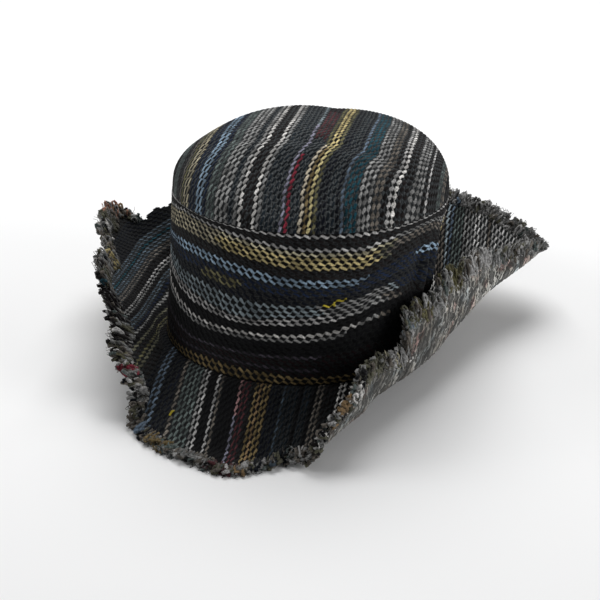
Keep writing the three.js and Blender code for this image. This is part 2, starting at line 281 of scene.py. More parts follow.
BRIM_CHART = Chart((
    (Yarn.GREY_BROWN, 4), (Yarn.BLACK_BROWN, 3), (Yarn.NAVY_BLACK, 6), (Yarn.WORN_SLATE, 2),
    (Yarn.TEAL, 1), (Yarn.WORN_SLATE, 2), (Yarn.WORN_BROWN, 2), (Yarn.BLACK_BROWN, 2), (Yarn.PALE_GREY, 1),
    (Yarn.GREY, 1), (Yarn.BLACK_BROWN, 1), (Yarn.WORN_SLATE, 2), (Yarn.NAVY, 1), (Yarn.GREY, 1), (Yarn.BLACK, 1),
    (Yarn.OLIVE_GREY, 1), (Yarn.BLACK_BROWN, 1),
    (Yarn.OLIVE, 1), (Yarn.OLIVE_GREY, 1), (Yarn.BLACK_BROWN, 2), (Yarn.NAVY_BLACK, 4), (Yarn.SLATE, 2),
    (Yarn.NAVY_BLACK, 3), (Yarn.GREY_BROWN, 1), (Yarn.GREEN_GREY, 4), (Yarn.GREY, 1), (Yarn.PALE_GREY, 1),
    (Yarn.BLACK, 2), (Yarn.PALE_GREY, 1), (Yarn.GREY_BROWN, 1), (Yarn.BLACK, 4), (Yarn.LAVENDER, 1), (Yarn.MAROON, 2),
    (Yarn.BLACK_BROWN, 1), (Yarn.DULL_GOLD, 1), (Yarn.ORANGE_BROWN, 1), (Yarn.DULL_GOLD, 2),
    (Yarn.NAVY_BLACK, 3), (Yarn.DIM_SLATE, 1), (Yarn.DARK_SLATE, 3), (Yarn.BLACK, 1), (Yarn.DARK_SLATE, 2),
    (Yarn.BLACK, 1), (Yarn.GREY_BROWN, 2), (Yarn.BLACK_BROWN, 3), (Yarn.WHITE, 2), (Yarn.BLACK, 2), (Yarn.PALE_GREY, 3),
    (Yarn.BLACK, 1), (Yarn.WHITE, 1), (Yarn.GREEN_GREY, 4), (Yarn.BLACK, 3), (Yarn.CREAM, 2),
    (Yarn.WHITE, 2), (Yarn.GREY_BROWN, 3), (Yarn.PALE_BLUE, 1), (Yarn.SLATE, 1), (Yarn.GREEN_GREY, 3),
    (Yarn.GREY, 2), (Yarn.WORN_GREY, 1), (Yarn.WORN_PALE_GREY, 2), (Yarn.WORN_GREY, 2), (Yarn.GREY_BROWN, 1),
    (Yarn.WORN_PALE_GREY, 4), (Yarn.WORN_GREY, 2), (Yarn.WORN_PALE_GREY, 4), (Yarn.WORN_GREY, 14),
), 7)


# How the hat stands, and the forms that its pieces share

@dataclass(frozen=True)
class Stance:
    """How the hat rests on the floor: tipped back, lifted and moved."""

    pitch: float = 6.2
    lift: float = 10.5
    shift_x: float = -8.8
    shift_y: float = -0.6
    soften: float = 1.5

    def settle(self, points: Array, low: float) -> Array:
        """Lets points of the upright hat down onto the floor.

        Args:
            points: Points in the hat's upright frame.
            low: The least height that a point may have.

        Returns:
            The points over the floor.
        """
        tip = self.pitch * RAD
        forward = points[..., 1] * np.cos(tip) + points[..., 2] * np.sin(tip) + self.shift_y
        height = points[..., 2] * np.cos(tip) - points[..., 1] * np.sin(tip) + self.lift - low
        near = (height + self.soften) ** 2 / (4 * self.soften)
        height = np.where(height > self.soften, height, np.where(height < -self.soften, 0, near))
        return np.stack([points[..., 0] + self.shift_x, forward, low + height], -1)


@dataclass(frozen=True)
class Seams:
    """The crown's two seams: half widths to the middle of the cloth, height and lean."""

    base_x: float = 87
    base_y: float = 90
    top_x: float = 88
    top_y: float = 91
    height: float = 98
    lean_x: float = 6
    lean_y: float = 2
    gap: float = 0.3
    cloth: float = 2.2


STANCE = Stance()
SEAMS = Seams()


# Meshes of cloth and of loose yarn

@dataclass(frozen=True)
class Weave:
    """Sizes of a plain weave of thick floats over thin cross threads."""

    float_pitch: float = 5.4
    row_pitch: float = 2.6
    steps_along: int = 4
    steps_across: int = 3
    relief: float = 0.45
    core: float = 0.85  # from the cloth's middle to its face between the floats
    lean: float = 0.4  # how many rows a float crosses from end to end
    taper: float = 0.85  # how much a float sinks at its ends
    narrow: float = 2.2  # how steeply a float falls off to its sides

    def bulge(self, along: Array, across: Array) -> Array:
        """How far the floats stand up from the cloth, from 0 to 1.

        Args:
            along: Place along the rows, in floats.
            across: Place across the rows, in rows.

        Returns:
            The height of the floats there.
        """
        row = np.floor(across + NUDGE)
        side = across - row - 0.5
        place = along + 0.5 * (row % 2)
        end = place - np.floor(place + NUDGE) - 0.5
        reach = 1 - (2 * end) ** 2 * self.taper - (self.narrow * (side + self.lean * end)) ** 2
        return np.sqrt(np.clip(reach, 0, 1))

    def faces(self, middle: Array, normal: Array, along: Array, across: Array, fade: Array) -> tuple[Array, Array]:
        """Raises the floats on both faces of a cloth.

        Args:
            middle: Points of the cloth's middle surface.
            normal: The upper face's normals.
            along: Place along the rows, in floats.
            across: Place across the rows, in rows.
            fade: How much of the relief shows, from 0 to 1.

        Returns:
            The points of the upper face and of the lower one, whose floats stand half as high.
        """
        over = self.bulge(along, across) * fade
        under = self.bulge(along + 0.5, across) * fade
        upper = middle + normal * (self.core + self.relief * over)[..., None]
        lower = middle - normal * (self.core + 0.5 * self.relief * under)[..., None]
        return upper, lower


@dataclass
class ClothGrid:
    """A cloth as a grid of places: columns along the yarn rows, lines across them."""

    upper: Array
    lower: Array
    keep: Array  # which cells are cloth
    yarn_map: Array
    tints: Array  # of the cells
    flat_map: Array | None = None
    joined: bool = False  # whether the last column is the first one again

    def _corners(self) -> tuple[Array, Array]:
        """Finds the corners of every kept cell.

        Returns:
            The lines and the columns of its four corners.
        """
        line, column = np.nonzero(self.keep)
        lines = np.stack([line, line, line + 1, line + 1], 1)
        columns = np.stack([column, column + 1, column + 1, column], 1)
        return lines, columns

    def _rims(self) -> list[tuple[Array, Array, Array]]:
        """Finds the open edges of the kept cells.

        Returns:
            For each of a cell's four sides, the cells that are open there and the edge's first and last ends.
        """
        keep = self.keep
        before = np.roll(keep, 1, 1) if self.joined else np.pad(keep, ((0, 0), (1, 0)))[:, :-1]
        after = np.roll(keep, -1, 1) if self.joined else np.pad(keep, ((0, 0), (0, 1)))[:, 1:]
        under = np.pad(keep, ((1, 0), (0, 0)))[:-1]
        over = np.pad(keep, ((0, 1), (0, 0)))[1:]
        found = []
        for beside, ends in (
            (under, ((0, 0), (0, 1))),
            (after, ((0, 1), (1, 1))),
            (over, ((1, 1), (1, 0))),
            (before, ((1, 0), (0, 0))),
        ):
            cells = np.stack(np.nonzero(keep & ~beside), 1)
            found.append((cells, cells + ends[0], cells + ends[1]))
        return found

    def build(self, name: str) -> bpy.types.Object:
        """Makes the closed cloth.

        Args:
            name: The piece's name.

        Returns:
            The object, whose first material is for its upper face and second for its lower.
        """
        lines, columns = self.upper.shape[:2]
        round_columns = columns - 1 if self.joined else columns
        number = np.arange(lines * columns).reshape(lines, columns)
        if self.joined:
            number = np.arange(lines)[:, None] * columns + np.arange(columns) % round_columns
        under = lines * columns
        line, column = self._corners()
        top = number[line, column]
        bottom = (top + under)[:, ::-1]
        faces = [top, bottom]
        uv_lines, uv_columns = [line, line[:, ::-1]], [column, column[:, ::-1]]
        cells = [np.stack([line[:, 0], column[:, 0]], 1)] * 2
        side = [np.zeros(len(top), int), np.ones(len(top), int)]
        for cell, first, last in self._rims():
            one, two = number[first[:, 0], first[:, 1]], number[last[:, 0], last[:, 1]]
            faces.append(np.stack([two, one, one + under, two + under], 1))
            uv_lines.append(np.stack([last[:, 0], first[:, 0], first[:, 0], last[:, 0]], 1))
            uv_columns.append(np.stack([last[:, 1], first[:, 1], first[:, 1], last[:, 1]], 1))
            cells.append(cell)
            side.append(np.zeros(len(cell), int))
        faces, cells, side = np.concatenate(faces), np.concatenate(cells), np.concatenate(side)
        uv_lines, uv_columns = np.concatenate(uv_lines), np.concatenate(uv_columns)
        used, packed = np.unique(faces, return_inverse=True)
        places = np.concatenate([self.upper.reshape(-1, 3), self.lower.reshape(-1, 3)])[used] * MM
        mesh = bpy.data.meshes.new(name)
        mesh.from_pydata(places.tolist(), [], packed.reshape(-1, 4).tolist())
        mesh.polygons.foreach_set("material_index", side.astype(np.int32))
        maps = [(YARN_MAP, self.yarn_map)]
        if self.flat_map is not None:
            maps.append((FLAT_MAP, self.flat_map))
        for label, values in maps:
            layer = mesh.uv_layers.new(name=label)
            layer.data.foreach_set("uv", values[uv_lines, uv_columns].reshape(-1).astype(np.float32))
        tints = np.repeat(self.tints[cells[:, 0], cells[:, 1]], 4, 0)
        colours = mesh.color_attributes.new(TINT, "FLOAT_COLOR", "CORNER")
        colours.data.foreach_set("color", tints.reshape(-1).astype(np.float32))
        return finished(mesh, name, MERGE)


def finished(mesh: bpy.types.Mesh, name: str, merge: float) -> bpy.types.Object:
    """Merges a mesh's doubles, smooths it and links it.

    Args:
        mesh: The mesh, in metres.
        name: The piece's name.
        merge: Points nearer than this become one; 0 leaves them all.

    Returns:
        The new object.
    """
    if merge:
        work = bmesh.new()
        work.from_mesh(mesh)
        bmesh.ops.remove_doubles(work, verts=work.verts, dist=merge)
        bmesh.ops.dissolve_degenerate(work, edges=work.edges, dist=merge)
        work.to_mesh(mesh)
        work.free()
    mesh.polygons.foreach_set("use_smooth", np.ones(len(mesh.polygons), bool))
    mesh.update()
    piece = bpy.data.objects.new(name, mesh)
    bpy.context.scene.collection.objects.link(piece)
    return piece


# Shader nodes

@dataclass(frozen=True)
class Waver:
    """Sizes of the noise that keeps rows of yarn from being ruled lines."""

    scale: float
    detail: float
    reach: tuple[float, float]


class Board:
    """Puts nodes into one shader tree and joins them."""

    def __init__(self, tree: bpy.types.NodeTree) -> None:
        """Takes the tree to work in."""
        self.tree = tree

    def add(self, kind: str, **settings: object) -> bpy.types.Node:
        """Adds a node.

        Args:
            kind: The node's type.
            **settings: Its own settings by name.

        Returns:
            The node.
        """
        node = self.tree.nodes.new(kind)
        for label, value in settings.items():
            setattr(node, label, value)
        return node

    def feed(self, socket: bpy.types.NodeSocket, value: object) -> None:
        """Gives a socket its value.

        Args:
            socket: An input.
            value: Another node's output to join to it, or a plain value to set it to.
        """
        if isinstance(value, bpy.types.NodeSocket):
            self.tree.links.new(value, socket)
        else:
            socket.default_value = value

    def math(self, operation: str, *values: object) -> bpy.types.NodeSocket:
        """Works out a sum.

        Args:
            operation: What a Math node does.
            *values: What it does that with.

        Returns:
            The result.
        """
        node = self.add("ShaderNodeMath", operation=operation)
        for socket, value in zip(node.inputs, values):
            self.feed(socket, value)
        return node.outputs[0]

    def product(self, first: object, *others: object) -> bpy.types.NodeSocket:
        """Multiplies values.

        Args:
            first: The first value.
            *others: At least one more.

        Returns:
            Their product.
        """
        for value in others:
            first = self.math("MULTIPLY", first, value)
        return first

    def ramp(self, value: object, low: float, high: float, start: float = 0, end: float = 1) -> bpy.types.NodeSocket:
        """Goes softly from start to end as a value goes from low to high.

        Args:
            value: The value.
            low: Where it starts.
            high: Where it ends.
            start: The result up to there.
            end: The result from there on.

        Returns:
            The result.
        """
        node = self.add("ShaderNodeMapRange", interpolation_type="SMOOTHSTEP")
        for label, item in zip(("Value", "From Min", "From Max", "To Min", "To Max"), (value, low, high, start, end)):
            self.feed(node.inputs[label], item)
        return node.outputs[0]

    def blend(self, share: object, first: object, second: object, how: str = "MIX") -> bpy.types.NodeSocket:
        """Mixes two colours.

        Args:
            share: How much of the second is in the mix.
            first: A colour.
            second: The other colour.
            how: How they mix.

        Returns:
            The mix.
        """
        node = self.add("ShaderNodeMix", data_type="RGBA", blend_type=how)
        self.feed(node.inputs[0], share)
        self.feed(node.inputs[6], first)
        self.feed(node.inputs[7], second)
        return node.outputs[2]

    def shaded(self, colour: object, *factors: object) -> bpy.types.NodeSocket:
        """Makes a colour lighter or darker.

        Args:
            colour: The colour.
            *factors: What its brightness is multiplied by.

        Returns:
            The new colour.
        """
        brightness = self.product(*factors)
        grey = self.add("ShaderNodeCombineColor")
        for socket in grey.inputs[:3]:
            self.feed(socket, brightness)
        return self.blend(1.0, colour, grey.outputs[0], "MULTIPLY")

    def joined(self, x: object, y: object, z: object = 0.0) -> bpy.types.NodeSocket:
        """Makes a vector of three numbers.

        Args:
            x: Its first part.
            y: Its second part.
            z: Its third part.

        Returns:
            The vector.
        """
        node = self.add("ShaderNodeCombineXYZ")
        for socket, value in zip(node.inputs, (x, y, z)):
            self.feed(socket, value)
        return node.outputs[0]

    def parted(self, place: object) -> tuple[bpy.types.NodeSocket, bpy.types.NodeSocket]:
        """The x and the y of a place."""
        node = self.add("ShaderNodeSeparateXYZ")
        self.feed(node.inputs[0], place)
        return node.outputs[0], node.outputs[1]

    def scaled(self, place: object, x: float, y: float, turn: float = 0) -> bpy.types.NodeSocket:
        """Stretches a place.

        Args:
            place: The place.
            x: Factor along X.
            y: Factor along Y.
            turn: A turn about Z in degrees, which comes after the stretch.

        Returns:
            The new place.
        """
        node = self.add("ShaderNodeMapping")
        self.feed(node.inputs["Vector"], place)
        node.inputs["Rotation"].default_value = (0, 0, turn * RAD)
        node.inputs["Scale"].default_value = (x, y, 1)
        return node.outputs[0]

    def noise(self, place: object, scale: float, detail: float = 2) -> bpy.types.NodeSocket:
        """Makes soft noise.

        Args:
            place: Where to read it.
            scale: How dense it is.
            detail: How many finer layers it has.

        Returns:
            The noise, from 0 to 1.
        """
        node = self.add("ShaderNodeTexNoise")
        self.feed(node.inputs["Vector"], place)
        node.inputs["Scale"].default_value = scale
        node.inputs["Detail"].default_value = detail
        return node.outputs[0]

    def wavered(self, place: object, source: object, waver: Waver) -> bpy.types.NodeSocket:
        """Moves a place to and fro by noise.

        Args:
            place: The place.
            source: Where to read the noise.
            waver: The sizes of the noise.

        Returns:
            The moved place, which is on average half the reach too far along each axis.
        """
        noise = self.add("ShaderNodeTexNoise", noise_dimensions="2D")
        self.feed(noise.inputs["Vector"], source)
        noise.inputs["Scale"].default_value = waver.scale
        noise.inputs["Detail"].default_value = waver.detail
        shift = self.add("ShaderNodeVectorMath", operation="MULTIPLY_ADD")
        self.feed(shift.inputs[0], noise.outputs["Color"])
        shift.inputs[1].default_value = (*waver.reach, 0)
        self.feed(shift.inputs[2], place)
        return shift.outputs[0]


class GroupBoard(Board):
    """The board of a shader group that takes a place and some numbers, and gives numbers."""

    def __init__(self, name: str, numbers: dict[str, float], results: tuple[str, ...]) -> None:
        """Makes the group.

        Args:
            name: The group's name.
            numbers: Its inputs besides the place, each with its usual value.
            results: Its outputs.
        """
        super().__init__(bpy.data.node_groups.new(name, "ShaderNodeTree"))
        face = self.tree.interface
        face.new_socket(name="Place", in_out="INPUT", socket_type="NodeSocketVector")
        for label, usual in numbers.items():
            face.new_socket(name=label, in_out="INPUT", socket_type="NodeSocketFloat").default_value = usual
        for label in results:
            face.new_socket(name=label, in_out="OUTPUT", socket_type="NodeSocketFloat")
        self.given = self.add("NodeGroupInput")
        self.result = self.add("NodeGroupOutput")


@dataclass(frozen=True)
class WovenFloats:
    """A group that lays thick zigzag yarns, with floats in brick order, over thin cross threads.

    Place counts floats along x and rows along y. Slant is how far a float leans over its row, Fill
    how wide it is, Net how much the cross threads narrow it and Ply how many plies it shows.
    """

    waver: Waver = Waver(1.3, 3.0, (0.44, 0.4))
    back: float = -2.4  # how fast the yarn runs back between two floats
    half_width: float = 0.38
    waist: float = 0.19  # how much of that is gone at a float's ends
    narrowed: float = 1.1  # how much Net narrows a float
    uneven: tuple[float, float] = (0.35, 0.85)  # reach and start of how much a float's width differs
    twist: tuple[float, float] = (1.6, 0.5)  # how fast the plies run along, and how they slant
    ply: tuple[float, float] = (2.4, 4)  # scale and detail of the plies
    ragged: float = 1.7  # how far the plies fray a float's sides
    sink: float = 0.75  # how much a float sinks at its ends
    ply_height: float = 0.35

    def build(self) -> bpy.types.NodeTree:
        """Builds the group.

        Returns:
            The group.
        """
        board = GroupBoard(
            "woven_floats", {"Slant": 0.3, "Fill": 0.9, "Net": 0.0, "Ply": 3.0},
            ("Float", "Height", "Tone", "Fibre", "Thread"),
        )
        given = board.given.outputs
        column, row, end, side = self._float_place(board)
        # Each float slants across its row, and the yarn runs back to the start of the next one.
        far = board.math("ABSOLUTE", end)
        zigzag = board.math("MINIMUM", far, board.math("MULTIPLY_ADD", far, self.back, -self.back / 2))
        lean = board.math("ADD", side, board.product(zigzag, board.math("SIGN", end), given["Slant"]))
        sunk = board.ramp(far, 0.2, 0.5)
        ratio = board.math("DIVIDE", lean, board.math("MULTIPLY_ADD", sunk, -self.waist, self.half_width))
        chance = board.add("ShaderNodeTexWhiteNoise", noise_dimensions="2D")
        board.feed(chance.inputs["Vector"], board.joined(column, row))
        tone = chance.outputs["Value"]
        away = board.product(
            board.math("DIVIDE", board.product(ratio, ratio), given["Fill"]),
            board.math("MULTIPLY_ADD", given["Net"], self.narrowed, 1.0),
            board.math("MULTIPLY_ADD", tone, *self.uneven),
        )
        dome = board.math("SQRT", board.math("MAXIMUM", board.math("SUBTRACT", 1.0, away), 0.0))
        # Plies of the yarn run slantwise along each float.
        twist = board.joined(
            board.product(end, self.twist[0]),
            board.product(board.math("MULTIPLY_ADD", end, self.twist[1], lean), given["Ply"]),
            board.product(tone, 37.0),
        )
        fibre = board.noise(twist, *self.ply)
        frayed = board.math("ADD", away, board.math("MULTIPLY_ADD", fibre, self.ragged, -self.ragged / 2))
        dome = board.product(dome, board.math("MULTIPLY_ADD", sunk, -self.sink, 1.0))
        for label, value in (
            ("Float", board.ramp(frayed, 1.2, 0.5)),
            ("Height", board.math("ADD", dome, board.product(fibre, self.ply_height))),
            ("Tone", tone), ("Fibre", fibre), ("Thread", board.ramp(far, 0.4, 0.47)),
        ):
            board.feed(board.result.inputs[label], value)
        return board.tree

    def _float_place(self, board: GroupBoard) -> tuple[bpy.types.NodeSocket, ...]:
        """Finds the float that a place belongs to.

        Args:
            board: The group's board.

        Returns:
            The float's column and row, and the place along it and across it, from -0.5 to 0.5.
        """
        place = board.given.outputs["Place"]
        centred = board.add("ShaderNodeVectorMath", operation="SUBTRACT")
        board.feed(centred.inputs[0], board.wavered(place, place, self.waver))
        centred.inputs[1].default_value = (self.waver.reach[0] / 2, self.waver.reach[1] / 2, 0)
        along, across = board.parted(centred.outputs[0])
        row = board.math("FLOOR", across)
        side = board.math("SUBTRACT", board.math("SUBTRACT", across, row), 0.5)
        shifted = board.math("ADD", along, board.product(board.math("FLOORED_MODULO", row, 2.0), 0.5))
        column = board.math("FLOOR", shifted)
        end = board.math("SUBTRACT", board.math("SUBTRACT", shifted, column), 0.5)
        return column, row, end, side


@dataclass(frozen=True)
class WornFuzz:
    """A group that gives cloth its uneven dye and its fuzz. Place is in metres on the piece."""

    slow: float = 38
    fine: float = 900
    dye: tuple[float, float] = (0.8, 1.15)

    def build(self) -> bpy.types.NodeTree:
        """Builds the group.

        Returns:
            The group.
        """
        board = GroupBoard("worn_fuzz", {}, ("Shade", "Fuzz"))
        place = board.given.outputs["Place"]
        board.feed(board.result.inputs["Shade"], board.ramp(board.noise(place, self.slow), *NOISE, *self.dye))
        board.feed(board.result.inputs["Fuzz"], board.noise(place, self.fine))
        return board.tree


class FabricBoard(Board):
    """The board of a fabric's material, with what every fabric here has in common."""

    def __init__(self, name: str, groups: Groups, sheen: tuple[float, float] = (0.03, 0.6)) -> None:
        """Makes the material: dull, with a soft sheen, uneven dye and fuzz.

        Args:
            name: The material's name.
            groups: The shared shader groups by name.
            sheen: Weight and roughness of its sheen.
        """
        self.material = bpy.data.materials.new(name)
        self.material.use_nodes = True
        super().__init__(self.material.node_tree)
        self.shader = self.tree.nodes["Principled BSDF"]
        self.shader.inputs["Specular IOR Level"].default_value = 0.06
        self.shader.inputs["Sheen Weight"].default_value = sheen[0]
        self.shader.inputs["Sheen Roughness"].default_value = sheen[1]
        self.place = self.add("ShaderNodeTexCoord").outputs["Object"]
        self.fuzz = self.add("ShaderNodeGroup", node_tree=groups["worn_fuzz"])
        self.feed(self.fuzz.inputs["Place"], self.place)

    def floats(self, groups: Groups, **given: object) -> bpy.types.Node:
        """Adds the woven floats.

        Args:
            groups: The shared shader groups by name.
            **given: The group's inputs by name.

        Returns:
            The group's node.
        """
        node = self.add("ShaderNodeGroup", node_tree=groups["woven_floats"])
        for label, value in given.items():
            self.feed(node.inputs[label], value)
        return node

    def fuzzed(self, height: object, share: float) -> bpy.types.NodeSocket:
        """A height with a share of fuzz on it."""
        return self.math("ADD", height, self.product(self.fuzz.outputs["Fuzz"], share))

    def dressed(
        self, colour: object, height: object, bump: float, rough: tuple[float, float] = (0.86, 0.98)
    ) -> bpy.types.Material:
        """Joins the colour, the roughness and the relief to the shader.

        Args:
            colour: The colour.
            height: The relief, as a share of its depth.
            bump: The relief's depth in millimetres.
            rough: Least and greatest roughness.

        Returns:
            The material.
        """
        self.feed(self.shader.inputs["Base Color"], colour)
        self.feed(self.shader.inputs["Roughness"], self.ramp(self.fuzz.outputs["Fuzz"], *NOISE, *rough))
        relief = self.add("ShaderNodeBump")
        relief.inputs["Strength"].default_value = 1.0
        relief.inputs["Distance"].default_value = bump * MM
        self.feed(relief.inputs["Height"], height)
        self.feed(self.shader.inputs["Normal"], relief.outputs[0])
        return self.material


@dataclass(frozen=True)
class ClothFinish:
    """The finish of the striped cloth's outer face."""

    name: str
    slant: float
    fill: float
    brightness: float
    cross_tint: Colour
    shadow: Colour = (0.003, 0.003, 0.0033)  # between the yarns
    bump: float = 0.4
    # How bright a yarn is, from its dullest to its liveliest, by float, by ply and by height; the part by height is
    # painted shade and highlight, darker where a float sinks and lighter on its crest.
    by_float: tuple[float, float] = (0.58, 1.38)
    by_ply: tuple[float, float] = (0.42, 1.45)
    painted_light_by_height: tuple[float, float] = (0.3, 1.2)

    def material(self, groups: Groups) -> bpy.types.Material:
        """Builds the material.

        Args:
            groups: The shared shader groups by name.

        Returns:
            A material that reads the piece's yarn map and tints.
        """
        board = FabricBoard(self.name, groups)
        place = board.add("ShaderNodeUVMap", uv_map=YARN_MAP).outputs[0]
        tint = board.add("ShaderNodeAttribute", attribute_name=TINT)
        paleness = tint.outputs["Alpha"]
        weave = board.floats(groups, Place=place, Slant=self.slant, Fill=self.fill, Net=paleness).outputs
        # The float's height makes the yarn darker where it sinks and lighter on its crest: painted shade and highlight,
        # beside its real uneven tone.
        yarn = board.shaded(
            tint.outputs["Color"],
            board.ramp(weave["Tone"], 0, 1, *self.by_float), board.fuzz.outputs["Shade"],
            board.ramp(weave["Fibre"], *NOISE, *self.by_ply), board.ramp(weave["Height"], 0.1, 1.0, *self.painted_light_by_height),
            self.brightness,
        )
        # The cross threads show between the yarns, paler in some places than in others.
        thin = board.ramp(board.noise(board.scaled(place, 2.0, 6.0), 1.0, 1), 0.35, 0.65, 0.1, 1.0)
        share = board.product(paleness, thin)
        cross = (*self.cross_tint, 1)
        cloth = board.blend(weave["Float"], board.blend(share, (*self.shadow, 1), cross), yarn)
        over = board.product(share, weave["Thread"], 1.3)
        return board.dressed(board.blend(over, cloth, cross), board.fuzzed(weave["Height"], 0.25), self.bump)


@dataclass(frozen=True)
class TweedFinish:
    """The finish of the brim's lower face: short slanted strokes of grey, in no stripes."""

    name: str = "brim_tweed"
    turn: float = 22
    stroke: float = 8.4
    row: float = 2.2
    slant: float = 0.9
    fill: float = 1.5
    bump: float = 0.6
    waver: Waver = Waver(1.0, 1.0, (0.5, 0.55))
    # Painted light and shade from front to back: place on the flat cloth in centimetres, then brightness there, darker
    # at the front and lighter at the back.
    painted_light_front_to_back: tuple[float, float, float, float] = (-8, 8, 0.84, 1.75)
    by_ply: tuple[float, float] = (0.55, 1.4)
    gap: Colour = (0.06, 0.059, 0.056)
    # Stroke colours by chance, and casts that whole patches take.
    tones: tuple[Colour, ...] = (
        (0.05, 0.05, 0.05), (0.11, 0.108, 0.103), (0.19, 0.186, 0.176), (0.27, 0.264, 0.249), (0.4, 0.39, 0.37),
    )
    casts: tuple[Colour, ...] = (
        (1.0, 0.7, 0.68), (1.0, 0.97, 0.91), (0.97, 0.98, 0.98), (1.0, 1.0, 0.98), (0.84, 0.94, 1.0),
    )

    @staticmethod
    def _steps(board: Board, value: object, colours: tuple[Colour, ...]) -> bpy.types.NodeSocket:
        """Goes evenly through some colours as a value goes from 0 to 1.

        Args:
            board: The board of the material.
            value: The value.
            colours: The colours in order.

        Returns:
            The colour.
        """
        node = board.add("ShaderNodeValToRGB")
        stops = node.color_ramp.elements
        stops[0].color, stops[1].color = (*colours[0], 1), (*colours[-1], 1)
        for number, colour in enumerate(colours[1:-1], 1):
            stops.new(number / (len(colours) - 1)).color = (*colour, 1)
        board.feed(node.inputs[0], value)
        return node.outputs[0]

    def material(self, groups: Groups) -> bpy.types.Material:
        """Builds the material.

        Args:
            groups: The shared shader groups by name.

        Returns:
            A material that reads the piece's flat map.
        """
        board = FabricBoard(self.name, groups)
        flat = board.add("ShaderNodeUVMap", uv_map=FLAT_MAP).outputs[0]
        turned = board.scaled(flat, 1, 1, -self.turn)
        place = board.wavered(turned, board.scaled(turned, 1.3, 2.6), self.waver)
        place = board.scaled(place, 10 / self.stroke, 10 / self.row)
        weave = board.floats(groups, Place=place, Slant=self.slant, Fill=self.fill, Net=0).outputs
        patch = board.ramp(board.noise(board.scaled(turned, 0.5, 0.9), 1.1, 1), 0.25, 0.75)
        cast = self._steps(board, patch, self.casts)
        # The strokes are made darker at the front and lighter at the back: painted light and shade, on top of the
        # uneven dye and the plies.
        strokes = board.shaded(
            board.blend(1.0, self._steps(board, weave["Tone"], self.tones), cast, "MULTIPLY"),
            board.fuzz.outputs["Shade"], board.ramp(weave["Fibre"], *NOISE, *self.by_ply),
            board.ramp(board.parted(flat)[1], *self.painted_light_front_to_back),
        )
        cloth = board.blend(weave["Float"], (*self.gap, 1), strokes)
        return board.dressed(cloth, board.fuzzed(weave["Height"], 0.3), self.bump)


@dataclass(frozen=True)
class LooseYarnFinish:
    """The finish of the loose yarn of the raw edge."""

    name: str = "loose_yarn"
    bump: float = 0.3
    ply: tuple[float, float] = (700, 3)  # scale and detail
    by_ply: tuple[float, float] = (0.55, 1.4)

    def material(self, groups: Groups) -> bpy.types.Material:
        """Builds the material.

        Args:
            groups: The shared shader groups by name.

        Returns:
            A material that reads the piece's tints.
        """
        board = FabricBoard(self.name, groups, sheen=(0.1, 0.5))
        tint = board.add("ShaderNodeAttribute", attribute_name=TINT).outputs["Color"]
        ply = board.noise(board.place, *self.ply)
        colour = board.shaded(tint, board.ramp(ply, *NOISE, *self.by_ply), board.fuzz.outputs["Shade"])
        return board.dressed(colour, ply, self.bump, rough=(0.85, 1.0))


# The crown's top panel

